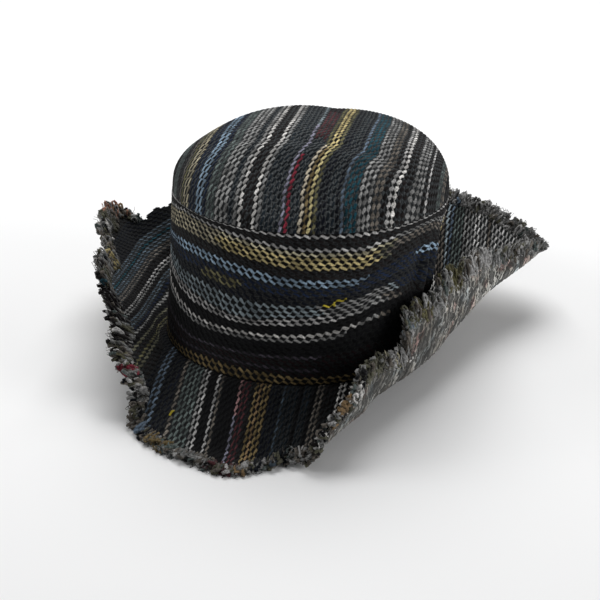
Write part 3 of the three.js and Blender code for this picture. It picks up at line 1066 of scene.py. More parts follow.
@dataclass(frozen=True)
class TopPanel:
    """The domed top panel, pressed flat at its front up to a soft crease."""

    rise: float = 43
    plan: float = 3
    profile: float = 2.2
    shift_x: float = 7
    press: tuple[float, float, float] = (-95, 38, 5)  # direction, slope in degrees, blend
    # direction, distance, spread, depth
    creases: Rows = ((-95, 36, 7, 2.2), (50, 52, 12, 2.5), (165, 78, 20, 9))
    weave: Weave = field(default_factory=lambda: Weave(5.1, 2.72, 4, 4))
    patches: tuple[Patch, ...] = (
        Patch(Yarn.DARK_SLATE, 38, 38, -52, 95), Patch(Yarn.MAROON, 38, 40, -34, 22),
        Patch(Yarn.MAROON_BLACK, 38, 41, 22, 60), Patch(Yarn.DIM_BLUE, 37, 37, -10, 95),
        Patch(Yarn.GOLD, 42, 43, -44, 95), Patch(Yarn.OLIVE, 41, 41, -44, 95),
    )
    first_row: float = -89.2
    shoulder: float = 68  # from here out the rows are counted closer, because the cloth turns down
    shoulder_rows: float = 7
    # The rows step sideways at the crease and near the front seam, less and less away from one row.
    jogs: tuple[Slide, ...] = (Slide(-62, 24, 6), Slide(-72, -16, 3.5))
    jog_middle: float = 5
    jog_loss: float = 0.008
    rim_turn: tuple[float, float] = (0.975, 0.025)  # where the cloth turns down into the seam, and how fast
    rim_fade: tuple[float, float] = (0.985, 0.015)  # where the relief goes away, and how fast
    flat: tuple[float, float] = (0.214, 0.222)

    def point(self, east: Array, north: Array) -> Array:
        """A point of the panel's middle surface.

        Args:
            east: Place towards +X as a share of the seam's half width.
            north: Place towards +Y as a share of the seam's half width.

        Returns:
            The point in the hat's upright frame.
        """
        share = np.minimum(np.hypot(east, north), 1)
        x = SEAMS.lean_x + self.shift_x * (1 - share**2) + SEAMS.top_x * east
        y = SEAMS.lean_y + SEAMS.top_y * north
        swell = self.rise * np.clip(1 - share**self.plan, 0, None) ** (1 / self.profile)
        direction, slope, blend = self.press
        aim_x, aim_y = math.cos(direction * RAD), math.sin(direction * RAD)
        edge = math.hypot(SEAMS.top_x * aim_x, SEAMS.top_y * aim_y)
        inward = edge - ((x - SEAMS.lean_x) * aim_x + (y - SEAMS.lean_y) * aim_y)
        height = soft_min(swell, inward * math.tan(slope * RAD) + blend, blend)
        height = np.where(share < 1, height, 0)
        for direction, distance, spread, depth in self.creases:
            across = x * math.cos(direction * RAD) + y * math.sin(direction * RAD)
            height = height - depth * bell(across - distance, spread) * (1 - share**4)
        return np.stack([x, y, SEAMS.height + np.maximum(height, 0)], -1)

    def _row_of(self, x: Array) -> Array:
        """Counts the rows across the panel.

        Args:
            x: Places across the panel.

        Returns:
            The row number there.
        """
        out = np.maximum(np.abs(x) - self.shoulder, 0) / (SEAMS.top_x - self.shoulder)
        return (x - self.first_row) / self.weave.row_pitch + self.shoulder_rows * (1 + np.sign(x) * out**2)

    def _jogged(self, x: Array, y: Array) -> Array:
        """Follows rows along the panel.

        Args:
            x: Where the rows start.
            y: Places along them.

        Returns:
            How far across the panel they lie there.
        """
        shift = sum(jog.at(y) for jog in self.jogs)
        return x + shift * (1 - self.jog_loss * np.abs(x - self.jog_middle)) * (1 - (x / SEAMS.top_x) ** 4)

    def _row_starts(self) -> tuple[Array, Array]:
        """Steps from side to side over the panel.

        Returns:
            The row number of each line of the grid, and where across the panel it starts.
        """
        steps = self.weave.steps_across
        dense = np.linspace(-SEAMS.top_x, SEAMS.top_x, 4001)
        first, last = self._row_of(dense[:1])[0], self._row_of(dense[-1:])[0]
        inner = np.arange(math.ceil(first * steps), math.floor(last * steps) + 1)
        rows = np.concatenate([[first], inner / steps, [last]])
        return rows, np.interp(rows, self._row_of(dense), dense)

    def _row_ends(self, x: Array) -> Array:
        """Finds where rows meet the seam.

        Args:
            x: Where the rows start.

        Returns:
            Their front ends and their back ends, along Y.
        """
        sides = np.array([[-1], [1]])
        ends = np.full((2, len(x)), SEAMS.top_y) * sides
        for _ in range(30):
            reach = np.clip(1 - (self._jogged(x, ends) / SEAMS.top_x) ** 2, 0, 1)
            ends = 0.5 * ends + 0.5 * np.sqrt(reach) * SEAMS.top_y * sides
        return ends

    def _floats_along(self, x: Array) -> tuple[Array, Array, Array]:
        """Steps along each row by the length of the cloth, from back to front.

        Args:
            x: Where the rows start.

        Returns:
            The float number of each column of the grid, which is zero on the line y = 0, the place of
            each point along Y, and which cells lie wholly past the ends of their rows.
        """
        weave = self.weave
        front, back = self._row_ends(x)
        y = front[:, None] + (back - front)[:, None] * (np.linspace(-1, 1, 801) + 1) / 2
        path = self.point(self._jogged(x[:, None], y) / SEAMS.top_x, y / SEAMS.top_y)
        steps = np.linalg.norm(np.diff(path, axis=1), axis=2)
        length = np.concatenate([np.zeros((len(x), 1)), np.cumsum(steps, 1)], 1)
        middle = np.array([np.interp(0, y[i], length[i]) if y[i, 0] < y[i, -1] else 0 for i in range(len(x))])
        length = middle[:, None] - length
        forward = math.ceil(length.max() / weave.float_pitch) + 1
        backward = math.ceil(-length.min() / weave.float_pitch) + 1
        floats = np.arange(-backward * weave.steps_along, forward * weave.steps_along + 1) / weave.steps_along
        reach = floats * weave.float_pitch
        place = np.array([np.interp(-reach, -length[i], y[i]) for i in range(len(x))])
        past_front, past_back = reach >= length[:, :1], reach <= length[:, -1:]
        place = np.where(past_front, front[:, None], place)
        place = np.where(past_back, back[:, None], place)
        gone = [past[:-1, :-1] & past[1:, :-1] & past[:-1, 1:] & past[1:, 1:] for past in (past_front, past_back)]
        return floats, place, gone[0] | gone[1]

    def _normals(self, east: Array, north: Array, share: Array) -> Array:
        """Finds the upper face's normals, which lean straight out at the seam.

        Args:
            east: Place towards +X as a share of the seam's half width.
            north: Place towards +Y as a share of the seam's half width.
            share: How far towards the seam each place lies, from 0 to 1.

        Returns:
            The normals.
        """
        step = 0.004
        pull = np.minimum(1, (1 - 2 * step) / np.maximum(share, NUDGE))
        e, n = east * pull, north * pull
        normal = unit(np.cross(
            self.point(e + step, n) - self.point(e - step, n), self.point(e, n + step) - self.point(e, n - step),
        ))
        rim = unit(np.stack([east / SEAMS.top_x, north / SEAMS.top_y, 0 * east], -1))
        blend = ease((share - self.rim_turn[0]) / self.rim_turn[1])[..., None]
        return unit(normal * (1 - blend) + rim * blend)

    def grid(self) -> ClothGrid:
        """Lays the panel's cloth along its rows.

        Returns:
            The cloth, over the floor.
        """
        rows, x = self._row_starts()
        floats, place, gone = self._floats_along(x)
        east = self._jogged(x[:, None], place) / SEAMS.top_x
        north = place / SEAMS.top_y
        share = np.hypot(east, north)
        over = np.maximum(share, 1)
        east, north = east / over, north / over
        share = np.minimum(share, 1)
        middle = self.point(east, north)
        lowest = SEAMS.height + SEAMS.gap
        middle[..., 2] = np.maximum(middle[..., 2], lowest)
        along = np.broadcast_to(floats - floats[0], place.shape)
        across = np.broadcast_to(rows[:, None], place.shape)
        fade = 1 - ease((share - self.rim_fade[0]) / self.rim_fade[1])
        upper, lower = self.weave.faces(middle, self._normals(east, north, share), along, across, fade)
        for face in (upper, lower):
            face[..., 2] = np.maximum(face[..., 2], lowest)
        tints = TIP_CHART.painted(across, place, self.patches)
        return ClothGrid(STANCE.settle(upper, 0), STANCE.settle(lower, 0), ~gone, np.stack([along, across], -1), tints)


# The crown's band

@dataclass(frozen=True)
class Band:
    """The crown's wall, whose rows run round the head."""

    # direction, spread, level, reach, out
    folds: Rows = (
        (12, 24, 0.5, 0.34, -8), (-16, 5, 0.6, 0.3, 3.5), (-20.5, 2, 0.6, 0.3, -2), (-24, 2, 0.62, 0.24, 3.5),
        (-29, 5, 0.6, 0.35, -3),
        (-120, 16, 0.35, 0.2, -2), (-70, 24, 0.72, 0.22, 2), (95, 26, 0.45, 0.3, -4),
        (175, 18, 0.5, 0.28, -3),
    )
    rows: int = 35
    floats: int = 108
    # How many rows each stripe runs below its level place: direction, then one for each drift row.
    drift_rows: tuple[float, ...] = (0, 3, 5, 10.6, 15, 19, 23, 28, 33, 35)
    drift: Rows = (
        (-205, 0, 0, 0, 0, 0, 0, 0, 0),
        (-172, -0.5, -0.6, -1.0, -3.0, -4.5, -5.5, -3.0, -0.5),
        (-160, -1.0, -1.0, -1.3, -3.5, -4.5, -5.0, -2.7, -0.5),
        (-150, -1.8, -2.0, -2.0, -3.0, -3.0, -2.7, -1.2, -0.3),
        (-140, -2.6, -3.0, -2.6, -1.7, -1.5, -1.0, 0, 0),
        (-130, -2.4, -3.0, -2.8, -2.0, -0.4, 0.5, 0.8, -0.5),
        (-120, -2.2, -2.6, -2.5, -1.4, 0.5, 0.9, 0.6, -1.0),
        (-110, -1.7, -1.7, -1.9, -0.8, 1.3, 0.6, 0.3, -0.9),
        (-100, -1.0, -1.0, -1.2, -0.3, 1.2, 0.3, 0.2, -0.8),
        (-90, -0.4, -0.4, -0.4, 0, 0.3, 0, 0, -0.6),
        (-80, 0, 0, 0, 0, -0.2, -0.2, 0, 0),
        (-70, 0, 0, 0, -0.3, -0.8, -0.8, -0.2, 0),
        (-60, 0.2, 0.3, 0.1, -0.9, -2.0, -2.2, -0.6, 0),
        (-50, -0.8, -1.0, -1.3, -2.6, -4.0, -3.7, -1.5, 0),
        (-40, -1.6, -2.5, -2.9, -3.6, -4.3, -3.8, -1.5, 0),
        (-32, -1.8, -3.0, -3.4, -3.7, -4.1, -3.4, -1.2, 0),
        (-24, -1.8, -3.0, -3.2, -3.2, -3.2, -2.5, -1.0, 0),
        (-5, 0, 0, 0, 0, 0, 0, 0, 0),
    )
    # From about -66 degrees to -8, beside the turned-up side, patches make rows 3 to 7 and 16 to 23 darker step by
    # step: painted shade of the flap over the band.
    patches: tuple[Patch, ...] = (
        Patch(Yarn.OLIVE, 13, 14, -125, -106), Patch(Yarn.GREY, 16, 18, -74, -46),
        Patch(Yarn.YELLOW, 15, 16, -71.5, -67), Patch(Yarn.NAVY, 10, 11, -58, -30),
        Patch(Yarn.GREY, 3, 4, -45, -8), Patch(Yarn.OLIVE_GREY, 5, 7, -53, -47), Patch(Yarn.GREY_BROWN, 5, 6, -47, -8),
        Patch(Yarn.BLACK_BROWN, 7, 7, -49, -8), Patch(Yarn.NAVY, 16, 18, -42, -8),
        Patch(Yarn.GREY_BROWN, 19, 20, -47, -40), Patch(Yarn.BLACK_BROWN, 19, 20, -40, -8),
        Patch(Yarn.GREY, 24, 24, -165, -60), Patch(Yarn.GREY, 23, 23, -60, -52),
        Patch(Yarn.GREY, 3, 3, -180, -122), Patch(Yarn.DRAB, 4, 7, -180, -118), Patch(Yarn.GREY, 19, 20, -66, -47),
        Patch(Yarn.GREY_BROWN, 23, 23, -52, -46), Patch(Yarn.BLACK, 23, 23, -46, -8),
        Patch(Yarn.MAROON_BLACK, 28, 31, -74, -10),
    )
    weave: Weave = field(default_factory=lambda: Weave(5.6, 2.8, 4, 3))
    seam_fade: float = 0.6  # the relief goes away over so many rows at each seam
    flat: tuple[float, float] = (0.58, 0.112)

    def point(self, degrees: Array, down: Array) -> Array:
        """A point of the band's middle surface.

        Args:
            degrees: Direction round the crown.
            down: 0 at the upper seam and 1 at the lower one.

        Returns:
            The point in the hat's upright frame.
        """
        up = 1 - down
        edge = np.sqrt(np.clip(np.sin(np.pi * up), 0, None))
        out = 0 * degrees * down
        for direction, spread, level, reach, depth in self.folds:
            out = out + depth * bell(wrap(degrees - direction), spread) * bell(up - level, reach) * edge
        half_x = SEAMS.base_x * down + SEAMS.top_x * up + out
        half_y = SEAMS.base_y * down + SEAMS.top_y * up + out
        return np.stack([
            half_x * np.cos(degrees * RAD) + SEAMS.lean_x * up,
            half_y * np.sin(degrees * RAD) + SEAMS.lean_y * up,
            SEAMS.height * up + 0 * out,
        ], -1)

    def _down(self, degrees: Array, rows: Array) -> Array:
        """Finds how far down the rows run.

        Args:
            degrees: Directions round the crown.
            rows: Row numbers.

        Returns:
            From 0 at the upper seam to 1 at the lower one, by row and direction.
        """
        drops = [around(self.drift, degrees, i + 1) for i in range(len(self.drift_rows) - 2)]
        table = np.stack([0 * degrees, *drops, 0 * degrees], 1)
        shift = np.array([np.interp(rows, self.drift_rows, line) for line in table]).T
        return np.clip((rows[:, None] + shift) / self.rows, 0, 1)

    def grid(self) -> ClothGrid:
        """Lays the band's cloth along its rows.

        Returns:
            The cloth, over the floor.
        """
        weave = self.weave
        rows = np.arange(self.rows * weave.steps_across + 1) / weave.steps_across
        floats = np.arange(self.floats * weave.steps_along + 1) / weave.steps_along
        degrees = 180 - floats * 360 / self.floats
        down = self._down(degrees, rows)
        angle = np.broadcast_to(degrees, down.shape)
        higher, deeper = np.clip(down - 0.01, 0, 1), np.clip(down + 0.01, 0, 1)
        normal = unit(np.cross(
            self.point(angle - 0.5, down) - self.point(angle + 0.5, down),
            self.point(angle, deeper) - self.point(angle, higher),
        ))
        along = np.broadcast_to(floats, down.shape)
        across = np.broadcast_to(rows[:, None], down.shape)
        fade = ease(down * self.rows / self.seam_fade) * ease((1 - down) * self.rows / self.seam_fade)
        upper, lower = weave.faces(self.point(angle, down), normal, along, across, fade)
        low = SEAMS.cloth + SEAMS.gap
        return ClothGrid(
            STANCE.settle(upper, low), STANCE.settle(lower, low), np.ones((len(rows) - 1, len(floats) - 1), bool),
            np.stack([along, across], -1), BAND_CHART.painted(across, angle, self.patches, turning=True), joined=True,
        )


# The brim

@dataclass(frozen=True)
class TurnUp:
    """A side of the brim that is turned up about a straight line."""

    direction: float
    distance: float  # of the line from the crown's middle
    radius: float
    angle: float
    height: float
    climb: float  # how steeply the line itself runs, in degrees
    clearance: float = 4  # least distance of the bend from the seam

    def across(self) -> Array:
        """The level direction square to the line."""
        return np.array([math.cos(self.direction * RAD), math.sin(self.direction * RAD), 0])

    def start(self, seam_x: Array, seam_y: Array) -> Array:
        """Finds where the cloth turns up.

        Args:
            seam_x: Where the cloth leaves the seam.
            seam_y: The same along Y.

        Returns:
            How far from the crown's middle it turns up.
        """
        across = self.across()
        return np.maximum(self.distance, seam_x * across[0] + seam_y * across[1] + self.clearance)

    def bend(self, points: Array, seam_x: Array, seam_y: Array) -> Array:
        """Turns up what lies beyond the line.

        Args:
            points: Points of the brim.
            seam_x: Where each point's cloth leaves the seam.
            seam_y: The same along Y.

        Returns:
            The points, bent.
        """
        across = self.across()
        climb = self.climb * RAD
        along = np.array([-across[1] * math.cos(climb), across[0] * math.cos(climb), math.sin(climb)])
        above = np.cross(across, along)
        start = self.start(seam_x, seam_y)[..., None] * across + np.array([0, 0, self.height])
        local = points - start
        beyond, height = local @ across, local @ above
        full = self.angle * RAD
        bent = np.clip(beyond / self.radius, 0, full)
        rest = np.maximum(beyond - self.radius * full, 0)
        outward = self.radius * np.sin(bent) + rest * np.cos(bent) - height * np.sin(bent)
        upward = self.radius * (1 - np.cos(bent)) + rest * np.sin(bent) + height * np.cos(bent)
        moved = start + outward[..., None] * across + upward[..., None] * above + (local @ along)[..., None] * along
        return np.where((beyond > 0)[..., None], moved, points)


@dataclass(frozen=True)
class Push:
    """Where a turned-up side is pushed in towards the crown along its fold."""

    direction: float = -8
    spread: float = 20
    distance: float = 3  # of its middle beyond the fold's line
    reach: float = 13
    inward: float = 7
    upward: float = 2.1
    start: float = 10  # over how much cloth from the seam it sets in

    def share(self, degrees: Array, out: Array, beyond: Array) -> Array:
        """How much of the push reaches a place.

        Args:
            degrees: Direction of the place.
            out: Distance from the seam over the cloth.
            beyond: Distance outwards from the fold's line, before the cloth is turned up.

        Returns:
            The share, from 0 to 1.
        """
        round_it = bell(wrap(degrees - self.direction), self.spread)
        return round_it * bell(beyond - self.distance, self.reach) * ease(out / self.start)


@dataclass(frozen=True)
class Brim:
    """The brim: one flat piece of cloth round the crown, turned up at both sides."""

    # direction, width, slope
    outline: Rows = (
        (-120, 68, -25), (-100, 79, -26), (-82, 69, -26), (-62, 67, -20), (-52, 59, -7), (-42, 46, 2.5),
        (-31, 59, 17.5), (-22, 58, 24), (-12, 68, 34), (6, 82, 38), (27, 106, 27), (50, 94, 47),
        (90, 80, 28), (136, 68, 16), (165, 80, -2), (190, 79, 0), (215, 70, -10),
    )
    level: float = 2.5  # how far out the cloth stays level
    hinge: float = 6  # over how much cloth it then takes up its slope
    # direction, spread, lift
    ripples: Rows = (
        (-97, 9, -5), (-74, 8, 5), (70, 12, 4), (112, 14, -6), (158, 5, -7), (144, 6, 5), (199, 7, 5),
        (214, 6, -4),
    )
    turn_ups: tuple[TurnUp, ...] = (
        TurnUp(-31, 95, 7, 84, 7, 13.5), TurnUp(184, 82, 9, 58, 0, -12),
    )
    push: Push = Push()
    # Where the raw edge lies short of the even outline or beyond it: direction, spread, reach.
    scallops: Rows = (
        (-178, 5, -11), (-162, 4, 9), (-150, 5, -8), (-131, 6, -8), (-116, 4, 2), (-103, 5, -5), (-82, 6, -8),
        (-47, 4, -4), (-39, 4, -8), (-24, 4, -3), (27, 4, -2), (144, 4, 2), (147, 2.5, -3), (152.5, 3.8, -10),
        (159, 2.5, 8), (164, 3, 2), (171, 5, 5),
    )
    weave: Weave = field(default_factory=lambda: Weave(5.4, 2.5, 4, 3))
    rows: int = 146
    floats: int = 64
    first_row: float = -170
    back: float = 172
    tuck: float = 1.1  # how far the cloth runs in under the band
    # How deep the loose yarn of the raw edge is: direction, depth.
    fringe: Rows = (
        (-180, 17), (-165, 19), (-150, 21), (-134, 21), (-120, 15), (-105, 12), (-75, 13), (-50, 18), (-20, 18),
        (15, 16), (40, 13), (90, 9), (118, 7), (130, 4), (152, 4), (159, 13), (168, 19),
    )
    # The woven cloth ends so much further out than the loose yarn starts, give or take a wobble.
    woven_past: float = 3
    wobble: Rows = ((1.3, 0.9, 0), (1.0, 2.3, 1), (0.7, 5.1, 0))  # reach, beat, start
    patches: tuple[Patch, ...] = (Patch(Yarn.YELLOW, 45, 45, -115, -111), Patch(Yarn.ROSE, 60, 60, -118, -88))
    # Rows of the left side run aslant, and so do those of the back right corner.
    slant_left: Slide = Slide(-40, -70, 0.2)
    slant_right: Slide = Slide(85, 20, 0.25)
    corner: tuple[float, float] = (70, 90)  # y where the corner's slant starts, and where it shifts no row
    seam_fade: tuple[float, float] = (0.4, 0.8)  # where the relief comes in beyond the seam, and how fast
    lowest: float = 0.05
    thinnest: float = 0.9
    flat: tuple[float, float] = (0.37, 0.35)
    area: float = 0.0585

    def width(self, degrees: Array) -> Array:
        """The brim's width over the cloth."""
        return around(self.outline, degrees, 1)

    def edge(self, degrees: Array) -> Array:
        """Finds how far out the loose yarn of the raw edge reaches.

        Args:
            degrees: Directions on the seam.

        Returns:
            The distance from the seam.
        """
        reach = self.width(degrees)
        for direction, spread, beyond in self.scallops:
            reach = reach + beyond * bell(wrap(degrees - direction), spread)
        return reach

    def point(self, degrees: Array, out: Array) -> Array:
        """A point of the brim's middle surface.

        Args:
            degrees: Direction of the place on the seam that it leaves from.
            out: Distance from the seam over the cloth.

        Returns:
            The point in the hat's upright frame.
        """
        seam_x, seam_y = SEAMS.base_x * np.cos(degrees * RAD), SEAMS.base_y * np.sin(degrees * RAD)
        away = unit(np.stack([seam_x / SEAMS.base_x**2, seam_y / SEAMS.base_y**2], -1))
        slope = around(self.outline, degrees, 2) * RAD
        hinge = np.clip(out - self.level, 0, self.hinge)
        bent = slope * hinge / self.hinge
        rest = np.maximum(out - self.level - self.hinge, 0)
        run = np.minimum(out, self.level) + hinge * np.cos(bent / 2) + rest * np.cos(slope)
        rise = hinge * np.sin(bent / 2) + rest * np.sin(slope)
        share = np.maximum(out, 0) / self.width(degrees)
        for direction, spread, lift in self.ripples:
            rise = rise + lift * share**2 * bell(wrap(degrees - direction), spread)
        points = np.stack([
            seam_x + away[..., 0] * run, seam_y + away[..., 1] * run, rise - SEAMS.cloth / 2 - SEAMS.gap,
        ], -1)
        fold = self.turn_ups[0]
        push = self.push.share(degrees, out, points @ fold.across() - fold.start(seam_x, seam_y))
        for turn in self.turn_ups:
            points = turn.bend(points, seam_x, seam_y)
        shove = np.array([0, 0, self.push.upward]) - self.push.inward * fold.across()
        return points + push[..., None] * shove

    def frayed_from(self, degrees: Array) -> Array:
        """How far out the loose yarn starts."""
        return self.edge(degrees) - around(self.fringe, degrees, 1)

    def settled(self, degrees: Array, out: Array) -> Array:
        """A point of the middle surface, over the floor."""
        return STANCE.settle(self.point(degrees, out), SEAMS.cloth / 2)

    def normal(self, degrees: Array, out: Array) -> Array:
        """Finds the upper face's normal, over the floor.

        Args:
            degrees: Direction of the place on the seam that it leaves from.
            out: Distance from the seam over the cloth.

        Returns:
            The normal.
        """
        outward = self.settled(degrees, out + 0.6) - self.settled(degrees, out - 0.6)
        round_it = self.settled(degrees + 0.4, out) - self.settled(degrees - 0.4, out)
        return unit(np.cross(outward, round_it))

    def seam_place(self, x: Array, y: Array) -> tuple[Array, Array]:
        """Where a place on the flat cloth leaves the seam.

        Args:
            x: Place on the flat cloth.
            y: The same along Y.

        Returns:
            The direction in degrees, and the distance out from the seam.
        """
        a, b = SEAMS.base_x, SEAMS.base_y

        def miss(turn: Array) -> Array:
            """How far the seam's normal at a turn passes from the place."""
            return (x - a * np.cos(turn)) * np.sin(turn) / b - (y - b * np.sin(turn)) * np.cos(turn) / a

        turn = np.arctan2(y / b, x / a)
        step = 1e-4
        for _ in range(10):
            slope = (miss(turn + step) - miss(turn)) / step
            turn = turn - np.clip(miss(turn) / np.where(np.abs(slope) < TINY, TINY, slope), -0.1, 0.1)
        away = unit(np.stack([np.cos(turn) / a, np.sin(turn) / b], -1))
        out = (x - a * np.cos(turn)) * away[..., 0] + (y - b * np.sin(turn)) * away[..., 1]
        return turn / RAD, out

    def row_place(self, row: Array, y: Array) -> Array:
        """Follows rows over the flat cloth.

        Args:
            row: Rows in millimetres.
            y: Places along them.

        Returns:
            Where they lie along X.
        """
        bow = self.slant_right.at(row) * (np.maximum(y, self.corner[0]) - self.corner[1])
        return row + self.slant_left.at(row) * y + bow

    def row_at(self, x: Array, y: Array) -> Array:
        """Finds the rows that pass places on the flat cloth.

        Args:
            x: Places along X.
            y: Places along Y.

        Returns:
            The rows in millimetres.
        """
        row = x + 0 * y
        for _ in range(12):
            row = row + 0.6 * (x - self.row_place(row, y))
        return row

    def _kept(self, degrees: Array, out: Array) -> Array:
        """Finds the cells that are cloth.

        Args:
            degrees: Direction on the seam of each point of the grid.
            out: Distance of each point from the seam.

        Returns:
            Which cells lie neither under the crown nor past the woven edge.
        """
        wobble = sum(reach * np.sin(degrees * beat + start) for reach, beat, start in self.wobble)
        beyond = out > self.frayed_from(degrees) + self.woven_past + wobble
        corners = [np.s_[:-1, :-1], np.s_[1:, :-1], np.s_[:-1, 1:], np.s_[1:, 1:]]
        inside = np.logical_and.reduce([out[corner] <= -self.tuck for corner in corners])
        outside = np.add.reduce([beyond[corner].astype(int) for corner in corners]) >= 2
        return ~(inside | outside)

    def grid(self) -> ClothGrid:
        """Lays the brim's cloth along its rows.

        Returns:
            The cloth, over the floor.
        """
        weave = self.weave
        rows = np.arange(self.rows * weave.steps_across + 1) / weave.steps_across
        floats = np.arange(self.floats * weave.steps_along + 1) / weave.steps_along
        along, across = np.meshgrid(floats, rows)
        y = self.back - along * weave.float_pitch
        x = self.row_place(self.first_row + across * weave.row_pitch, y)
        degrees, out = self.seam_place(x, y)
        inside = (x / SEAMS.base_x) ** 2 + (y / SEAMS.base_y) ** 2 < 1
        out = np.where(inside, -np.abs(out), out)
        held = np.maximum(out, -self.tuck)
        middle, normal = self.settled(degrees, held), self.normal(degrees, held)
        fade = ease((held - self.seam_fade[0]) / self.seam_fade[1])
        upper = middle + normal * (weave.core + weave.relief * weave.bulge(along, across) * fade)[..., None]
        # The lower face's floats are out of step with the upper one's, in no clear rows.
        rough = weave.bulge(along * 1.1 + 0.37, across * 1.2 + 0.2)
        lower = middle - normal * (weave.core + weave.relief * rough * fade)[..., None]
        lower[..., 2] = np.maximum(lower[..., 2], self.lowest)
        upper[..., 2] = np.maximum(upper[..., 2], lower[..., 2] + self.thinnest)
        return ClothGrid(
            upper, lower, self._kept(degrees, out), np.stack([along, across], -1),
            BRIM_CHART.painted(across, y, self.patches), np.stack([x, y], -1) / 10,
        )


# The frayed edge

@dataclass(frozen=True)
class Lock:
    """A place of the raw edge where the loose yarn is of another colour."""

    direction: float
    spread: float
    yarn: Yarn
    share: float = 0.9  # of the strands at its middle


@dataclass(frozen=True)
class Strands:
    """Sizes of one kind of loose yarn."""

    radius: tuple[float, float]  # least and most
    loops: float  # the share that turn back
    stray: float  # how much further than the edge and off the cloth they reach
    points: int
    sides: int


@dataclass(frozen=True)
class FrayedEdge:
    """The loose loops and ends of yarn along the brim's raw edge."""

    brim: Brim
    knot_pitch: float = 4.3
    strands: int = 6  # in each knot
    hairs: int = 1300
    yarn: Strands = Strands((0.65, 1.35), 0.86, 1, 10, 4)
    fuzz: Strands = Strands((0.14, 0.26), 0.75, 1.15, 7, 3)
    seed: int = 11
    bare: tuple[float, float] = (114, 154)  # the edge has no loops between these directions
    # Least and most of what differs from strand to strand.
    root: tuple[float, float] = (-1, 3)  # where a strand leaves the cloth, past where the loose yarn starts
    swing: tuple[float, float] = (1.2, 5.0)  # how far it goes sideways
    lift: tuple[float, float] = (-2.4, 2.8)  # how far it stands off the cloth
    curls: tuple[float, float] = (1.0, 2.3)
    skew: tuple[float, float] = (0.75, 1.25)  # how soon a loop turns back
    shift: tuple[float, float] = (-0.7, 0.7)  # along the edge from its knot, in knots
    shade: tuple[float, float] = (0.72, 1.18)
    lengths: tuple[float, float] = (1.7, 1.1)  # shape of the spread of lengths, towards long ones
    wave: float = 0.9  # how far the curls go sideways
    ripple: float = 0.95  # how far they go up and down
    lump: float = 0.16
    by_row: float = 0.34  # the most of the strands that have the colour of the row that ends there
    locks: tuple[Lock, ...] = (
        Lock(160.5, 2, Yarn.PINK_BROWN, 0.85), Lock(157.6, 0.8, Yarn.ORANGE_BROWN, 0.8),
        Lock(168, 2.2, Yarn.OLIVE_GREY), Lock(173, 2.0, Yarn.WHITE, 0.3),
        Lock(-176, 3.5, Yarn.GOLD, 0.55), Lock(-137, 0.8, Yarn.RED, 0.7), Lock(-123.5, 1.2, Yarn.GREY_BROWN),
        Lock(-114, 2.0, Yarn.DULL_GOLD), Lock(-97, 3, Yarn.MAROON, 0.6), Lock(-59, 1.5, Yarn.WHITE, 0.6),
        Lock(-63, 3, Yarn.ORANGE_BROWN, 0.7), Lock(-52, 5, Yarn.OLIVE_GREY, 0.8), Lock(-43, 3, Yarn.PALE_GREY, 0.8),
        Lock(-28, 3, Yarn.OLIVE, 0.7), Lock(-11, 4, Yarn.OLIVE, 0.8), Lock(4, 3, Yarn.PALE_GREY, 0.7),
        Lock(27, 3, Yarn.GREY, 0.8), Lock(-20, 14, Yarn.GREY, 0.4), Lock(-8, 20, Yarn.PALE_GREY, 0.45),
        Lock(-150, 14, Yarn.BLACK_BROWN, 0.4), Lock(45, 14, Yarn.PALE_GREY, 0.4), Lock(40, 20, Yarn.GREY, 0.5),
    )
    mixed: tuple[Yarn, ...] = (
        Yarn.GREY, Yarn.GREY_BROWN, Yarn.OLIVE_GREY, Yarn.GREY_BROWN, Yarn.GREEN_GREY, Yarn.GREY,
        Yarn.OLIVE_GREY, Yarn.GREY, Yarn.GREY_BROWN, Yarn.PALE_GREY,
    )

    def _tint(self, degrees: float, chance: np.random.Generator) -> Array:
        """Picks the colour of a strand: a lock's, its row's or a mixed one.

        Args:
            degrees: Direction of the strand.
            chance: The random numbers.

        Returns:
            The tint.
        """
        for lock in self.locks:
            near = math.exp(-((((degrees - lock.direction + 180) % 360 - 180) / lock.spread) ** 2))
            if chance.random() < near * lock.share:
                return np.array(lock.yarn.value.linear())
        seam_x, seam_y = SEAMS.base_x * math.cos(degrees * RAD), SEAMS.base_y * math.sin(degrees * RAD)
        away = unit(np.array([seam_x / SEAMS.base_x**2, seam_y / SEAMS.base_y**2]))
        here = np.array([degrees])
        out = float(self.brim.frayed_from(here)[0])
        x, y = seam_x + away[0] * out, seam_y + away[1] * out
        if chance.random() < self.by_row * abs(away[1]):
            row = (self.brim.row_at(np.array([x]), np.array([y])) - self.brim.first_row) / self.brim.weave.row_pitch
            return BRIM_CHART.tints(np.floor(row))[0]
        return np.array(self.mixed[chance.integers(len(self.mixed))].value.linear())

    def _places(self) -> Array:
        """Steps along the raw edge by its length.

        Returns:
            The directions of the knots.
        """
        degrees = np.linspace(-180, 180, 2881)
        edge = self.brim.settled(degrees, self.brim.edge(degrees) - 4)
        length = np.concatenate([[0], np.cumsum(np.linalg.norm(np.diff(edge, axis=0), axis=1))])
        count = round(length[-1] / self.knot_pitch)
        return np.interp((np.arange(count) + 0.5) * length[-1] / count, length, degrees)

    def _paths(self, kind: Strands, knots: Array, radius: Array, loose: Array, chance: np.random.Generator) -> Array:
        """Lays the middle lines of the strands.

        Args:
            kind: The kind of loose yarn.
            knots: Direction of each strand's knot.
            radius: Each strand's radius.
            loose: Which strands end free, in place of turning back.
            chance: The random numbers.

        Returns:
            The points of each strand, over the floor.
        """
        count = len(knots)

        def spread(low: float, high: float) -> Array:
            """One number for each strand, as a column."""
            return chance.uniform(low, high, (count, 1))

